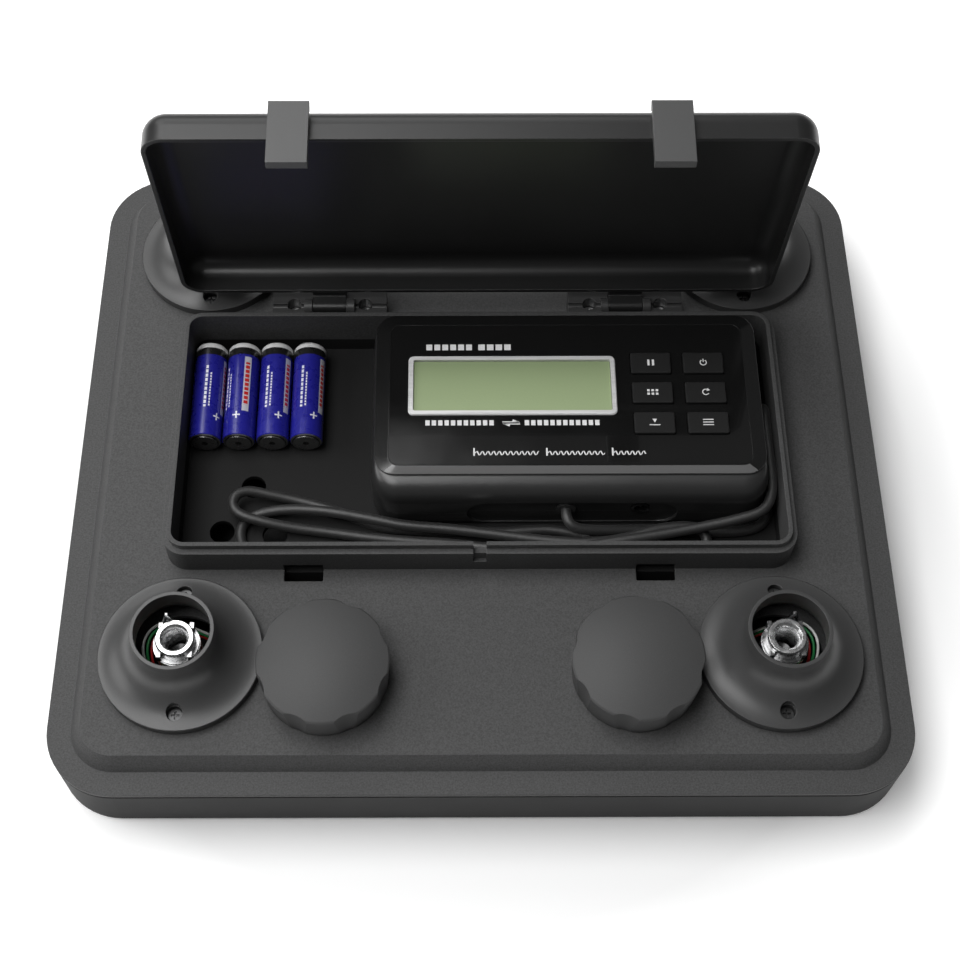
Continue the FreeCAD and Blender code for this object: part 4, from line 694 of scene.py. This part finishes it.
def middle_of(node):
    """The X and Y of a node's middle, in millimetres."""
    low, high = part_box(node)
    return ((low.x + high.x) * 500, (low.y + high.y) * 500)


for corner, (x, y, _) in SOCKETS.items():
    thread = helix_ridge(f"socket_thread_{corner}", (x, y), THREAD_BOTTOM, THREAD_TOP, 5.12, 0.62,
                         socket_bright)
    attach(thread, "scale_base")

for corner in CORNERS:
    stud = f"foot_stud_{corner}"
    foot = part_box(stud)[0].z * 1000
    thread = helix_ridge(f"stud_thread_{corner}", middle_of(stud), foot + 1.2, foot + 6.6,
                         5.88, -0.10, zinc)
    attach(thread, f"loose_foot_{corner}")
print("threads on four sockets and four studs")

# %% [markdown]
# ## Printing on the panel and the keys
#
# The panel and the keys carry white print. Its words belong to a maker, so they are replaced by
# neutral marks: a picture sign on each key, a pair of arrows under the display, and plain rules where
# lines of type would be. Each mark is a thin flat piece, a twentieth of a millimetre thick, because a
# print that is real geometry stays sharp at any distance.

# %% Make flat printed marks
ink = Finish("white_ink", IOR=1.45)
fleck = ink.noise(0.0005, 2.0)
ink.set("Base Color", ink.mix(fleck.ramp(0.3, 0.7), grey(0.62), grey(0.74)))
ink.set("Roughness", fleck.ramp(0.3, 0.7, 0.42, 0.55))
INK_SINK, INK_RISE = 0.01, 0.04  # how far the print reaches into and over its face


def box_bar(x0, x1, y0, y1):
    """A bar's outline."""
    return [(x0, y0), (x1, y0), (x1, y1), (x0, y1)]


def ring_piece(radius, width, start, end, steps=20):
    """Part of a ring, as a chain of small quads, between two angles in degrees."""
    quads = []
    for i in range(steps):
        a, b = (math.radians(start + (end - start) * (i + j) / steps) for j in (0, 1))
        quads.append([(r * math.cos(t), r * math.sin(t)) for r, t in (
            (radius, a), (radius + width, a), (radius + width, b), (radius, b))])
    return quads


def print_mark(name, outlines, centre, top, body):
    """Thin raised print on a top face, from flat outlines in millimetres round a centre."""
    mesh = bmesh.new()
    for outline in outlines:
        rings = []
        for level in (-INK_SINK, INK_RISE):
            rings.append([mesh.verts.new(Vector((centre[0] + px, centre[1] + py, top + level)) / 1000)
                          for px, py in outline])
        mesh.faces.new(rings[0][::-1])
        mesh.faces.new(rings[1])
        count = len(outline)
        for a in range(count):
            b = (a + 1) % count
            mesh.faces.new((rings[0][a], rings[0][b], rings[1][b], rings[1][a]))
    mark = as_piece(mesh, name, ink)
    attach(mark, body)


SIGNS = {
    "hold": [box_bar(-1.5, -0.5, -1.5, 1.5), box_bar(0.5, 1.5, -1.5, 1.5)],
    "power": ring_piece(1.15, 0.42, 125, 415) + [box_bar(-0.22, 0.22, 0.2, 1.9)],
    "count": [box_bar(x, x + 1.1, y, y + 1.1) for x in (-2.4, -0.55, 1.3) for y in (-1.4, 0.35)],
    "recall": ring_piece(1.15, 0.42, 60, 330) + [[(0.35, 0.4), (1.95, 0.9), (0.65, 2.0)]],
    "tare": [box_bar(-2.3, 2.3, -1.5, -1.05), [(-1.0, 1.7), (1.0, 1.7), (0.0, -0.2)]],
    "mode": [box_bar(-2.3, 2.3, y, y + 0.45) for y in (-1.5, -0.2, 1.1)],
}
for key, outlines in SIGNS.items():
    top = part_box(f"key_{key}")[1].z * 1000
    print_mark(f"sign_{key}", outlines, middle_of(f"key_{key}"), top, f"{key}_button")
print(len(SIGNS), "key signs")

# %% Print the panel
panel_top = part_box("gloss_panel")[1].z * 1000


def rule(x0, lengths, y, height, gap=0.7):
    """A row of plain bars that stands for a line of type."""
    bars = []
    for length in lengths:
        bars.append(box_bar(x0, x0 + length, y, y + height))
        x0 += length + gap
    return bars


def wave(x0, x1, y, swing=1.0, length=2.4, stroke=0.55, steps=12):
    """A wavy stroke that stands for a word of script."""
    count = int((x1 - x0) / length * steps)
    line = [(x0 + length * i / steps, y + swing * math.sin(2 * math.pi * i / steps))
            for i in range(count + 1)]
    return [[a, (a[0] + stroke, a[1] + stroke * 0.3), (b[0] + stroke, b[1] + stroke * 0.3), b]
            for a, b in zip(line, line[1:])]


ARROWS = [box_bar(10.0, 17.0, 1.5, 1.95), box_bar(10.6, 17.6, 0.45, 0.9),
          [(17.0, 1.5), (17.6, 1.5), (14.6, 3.0), (14.2, 1.95)],
          [(10.6, 0.9), (10.0, 0.9), (13.0, -0.6), (13.4, 0.45)]]
SCRIPT = [(-2.0, 25.0), (29.0, 53.0), (57.0, 70.5)]
heading = rule(-22.9, [2.6] * 6, 0, 3.0, 0.9) + rule(0.0, [2.9] * 4, 0, 3.0, 0.9)
ranges = rule(-23.1, [1.9] * 11, 0, 2.6, 0.85) + rule(19.6, [1.9] * 12, 0, 2.6, 0.85) + ARROWS
script = [quad for start, end in SCRIPT for quad in wave(start, end, 0.0)]
script += [box_bar(start - 0.6, start + 0.1, -1.2, 2.6) for start, end in SCRIPT]
for name, outlines, y in (("heading", heading, 35.9), ("range", ranges, -2.6),
                          ("script", script, -16.4)):
    print_mark(f"print_{name}", outlines, (0, y), panel_top, "indicator")
print("panel print")

# %% [markdown]
# ## The studio
#
# A white floor that glows evenly except close round the object, where the real shadow shows. Three
# wide panels light it: one above and to the left, one behind and one low at the left. Black plastic
# shows its form only by what it reflects, so the lights are panels and not small lamps.

# %% Floor and lights
FLOOR_SPAN = 3.0
GLOW_STARTS, GLOW_FULL = 0.20, 0.31  # metres from the middle
square = [(x * FLOOR_SPAN, y * FLOOR_SPAN, 0) for x, y in ((-1, -1), (1, -1), (1, 1), (-1, 1))]
floor_mesh = bpy.data.meshes.new("studio_floor")
floor_mesh.from_pydata(square, [], [(0, 1, 2, 3)])
floor = put(floor_mesh, "studio_floor")
floor.location.z = cad_box[0].z - 0.0002
paper = Finish("studio_paper", Base_Color=grey(0.90), Roughness=0.85, Emission_Strength=1.0)
across, deep = paper.split(paper.place())[:2]
away = (across ** 2.0 + deep ** 2.0) ** 0.5
paper.set("Emission Color", paper.mix(away.ramp(GLOW_STARTS, GLOW_FULL), grey(0.06), grey(0.80)))
floor_mesh.materials.append(paper.material)

surround = bpy.data.worlds.new("studio_surround")
surround.use_nodes = True
sky = surround.node_tree.nodes["Background"]
sky.inputs["Color"].default_value = (1, 1, 1, 1)
sky.inputs["Strength"].default_value = 0.12
scene.world = surround


def softbox(name, place, aim, width, depth, power):
    """A wide soft light at a place, turned to a point."""
    light = bpy.data.lights.new(name, "AREA")
    light.shape = "RECTANGLE"
    light.size, light.size_y, light.energy = width, depth, power
    lamp = put(light, name)
    lamp.location = place
    lamp.rotation_euler = (Vector(aim) - Vector(place)).to_track_quat("-Z", "Y").to_euler()


softbox("top_panel", (-0.42, 0.04, 1.35), (-0.03, 0.0, 0), 1.4, 0.72, 19)
softbox("rear_panel", (-0.60, 1.75, 1.45), (0, -0.05, 0), 1.8, 0.9, 14)
softbox("left_panel", (-1.25, 0.0, 0.75), (0, 0, 0.03), 0.8, 0.7, 7)
scene.view_settings.view_transform = "Standard"
print("studio lit")
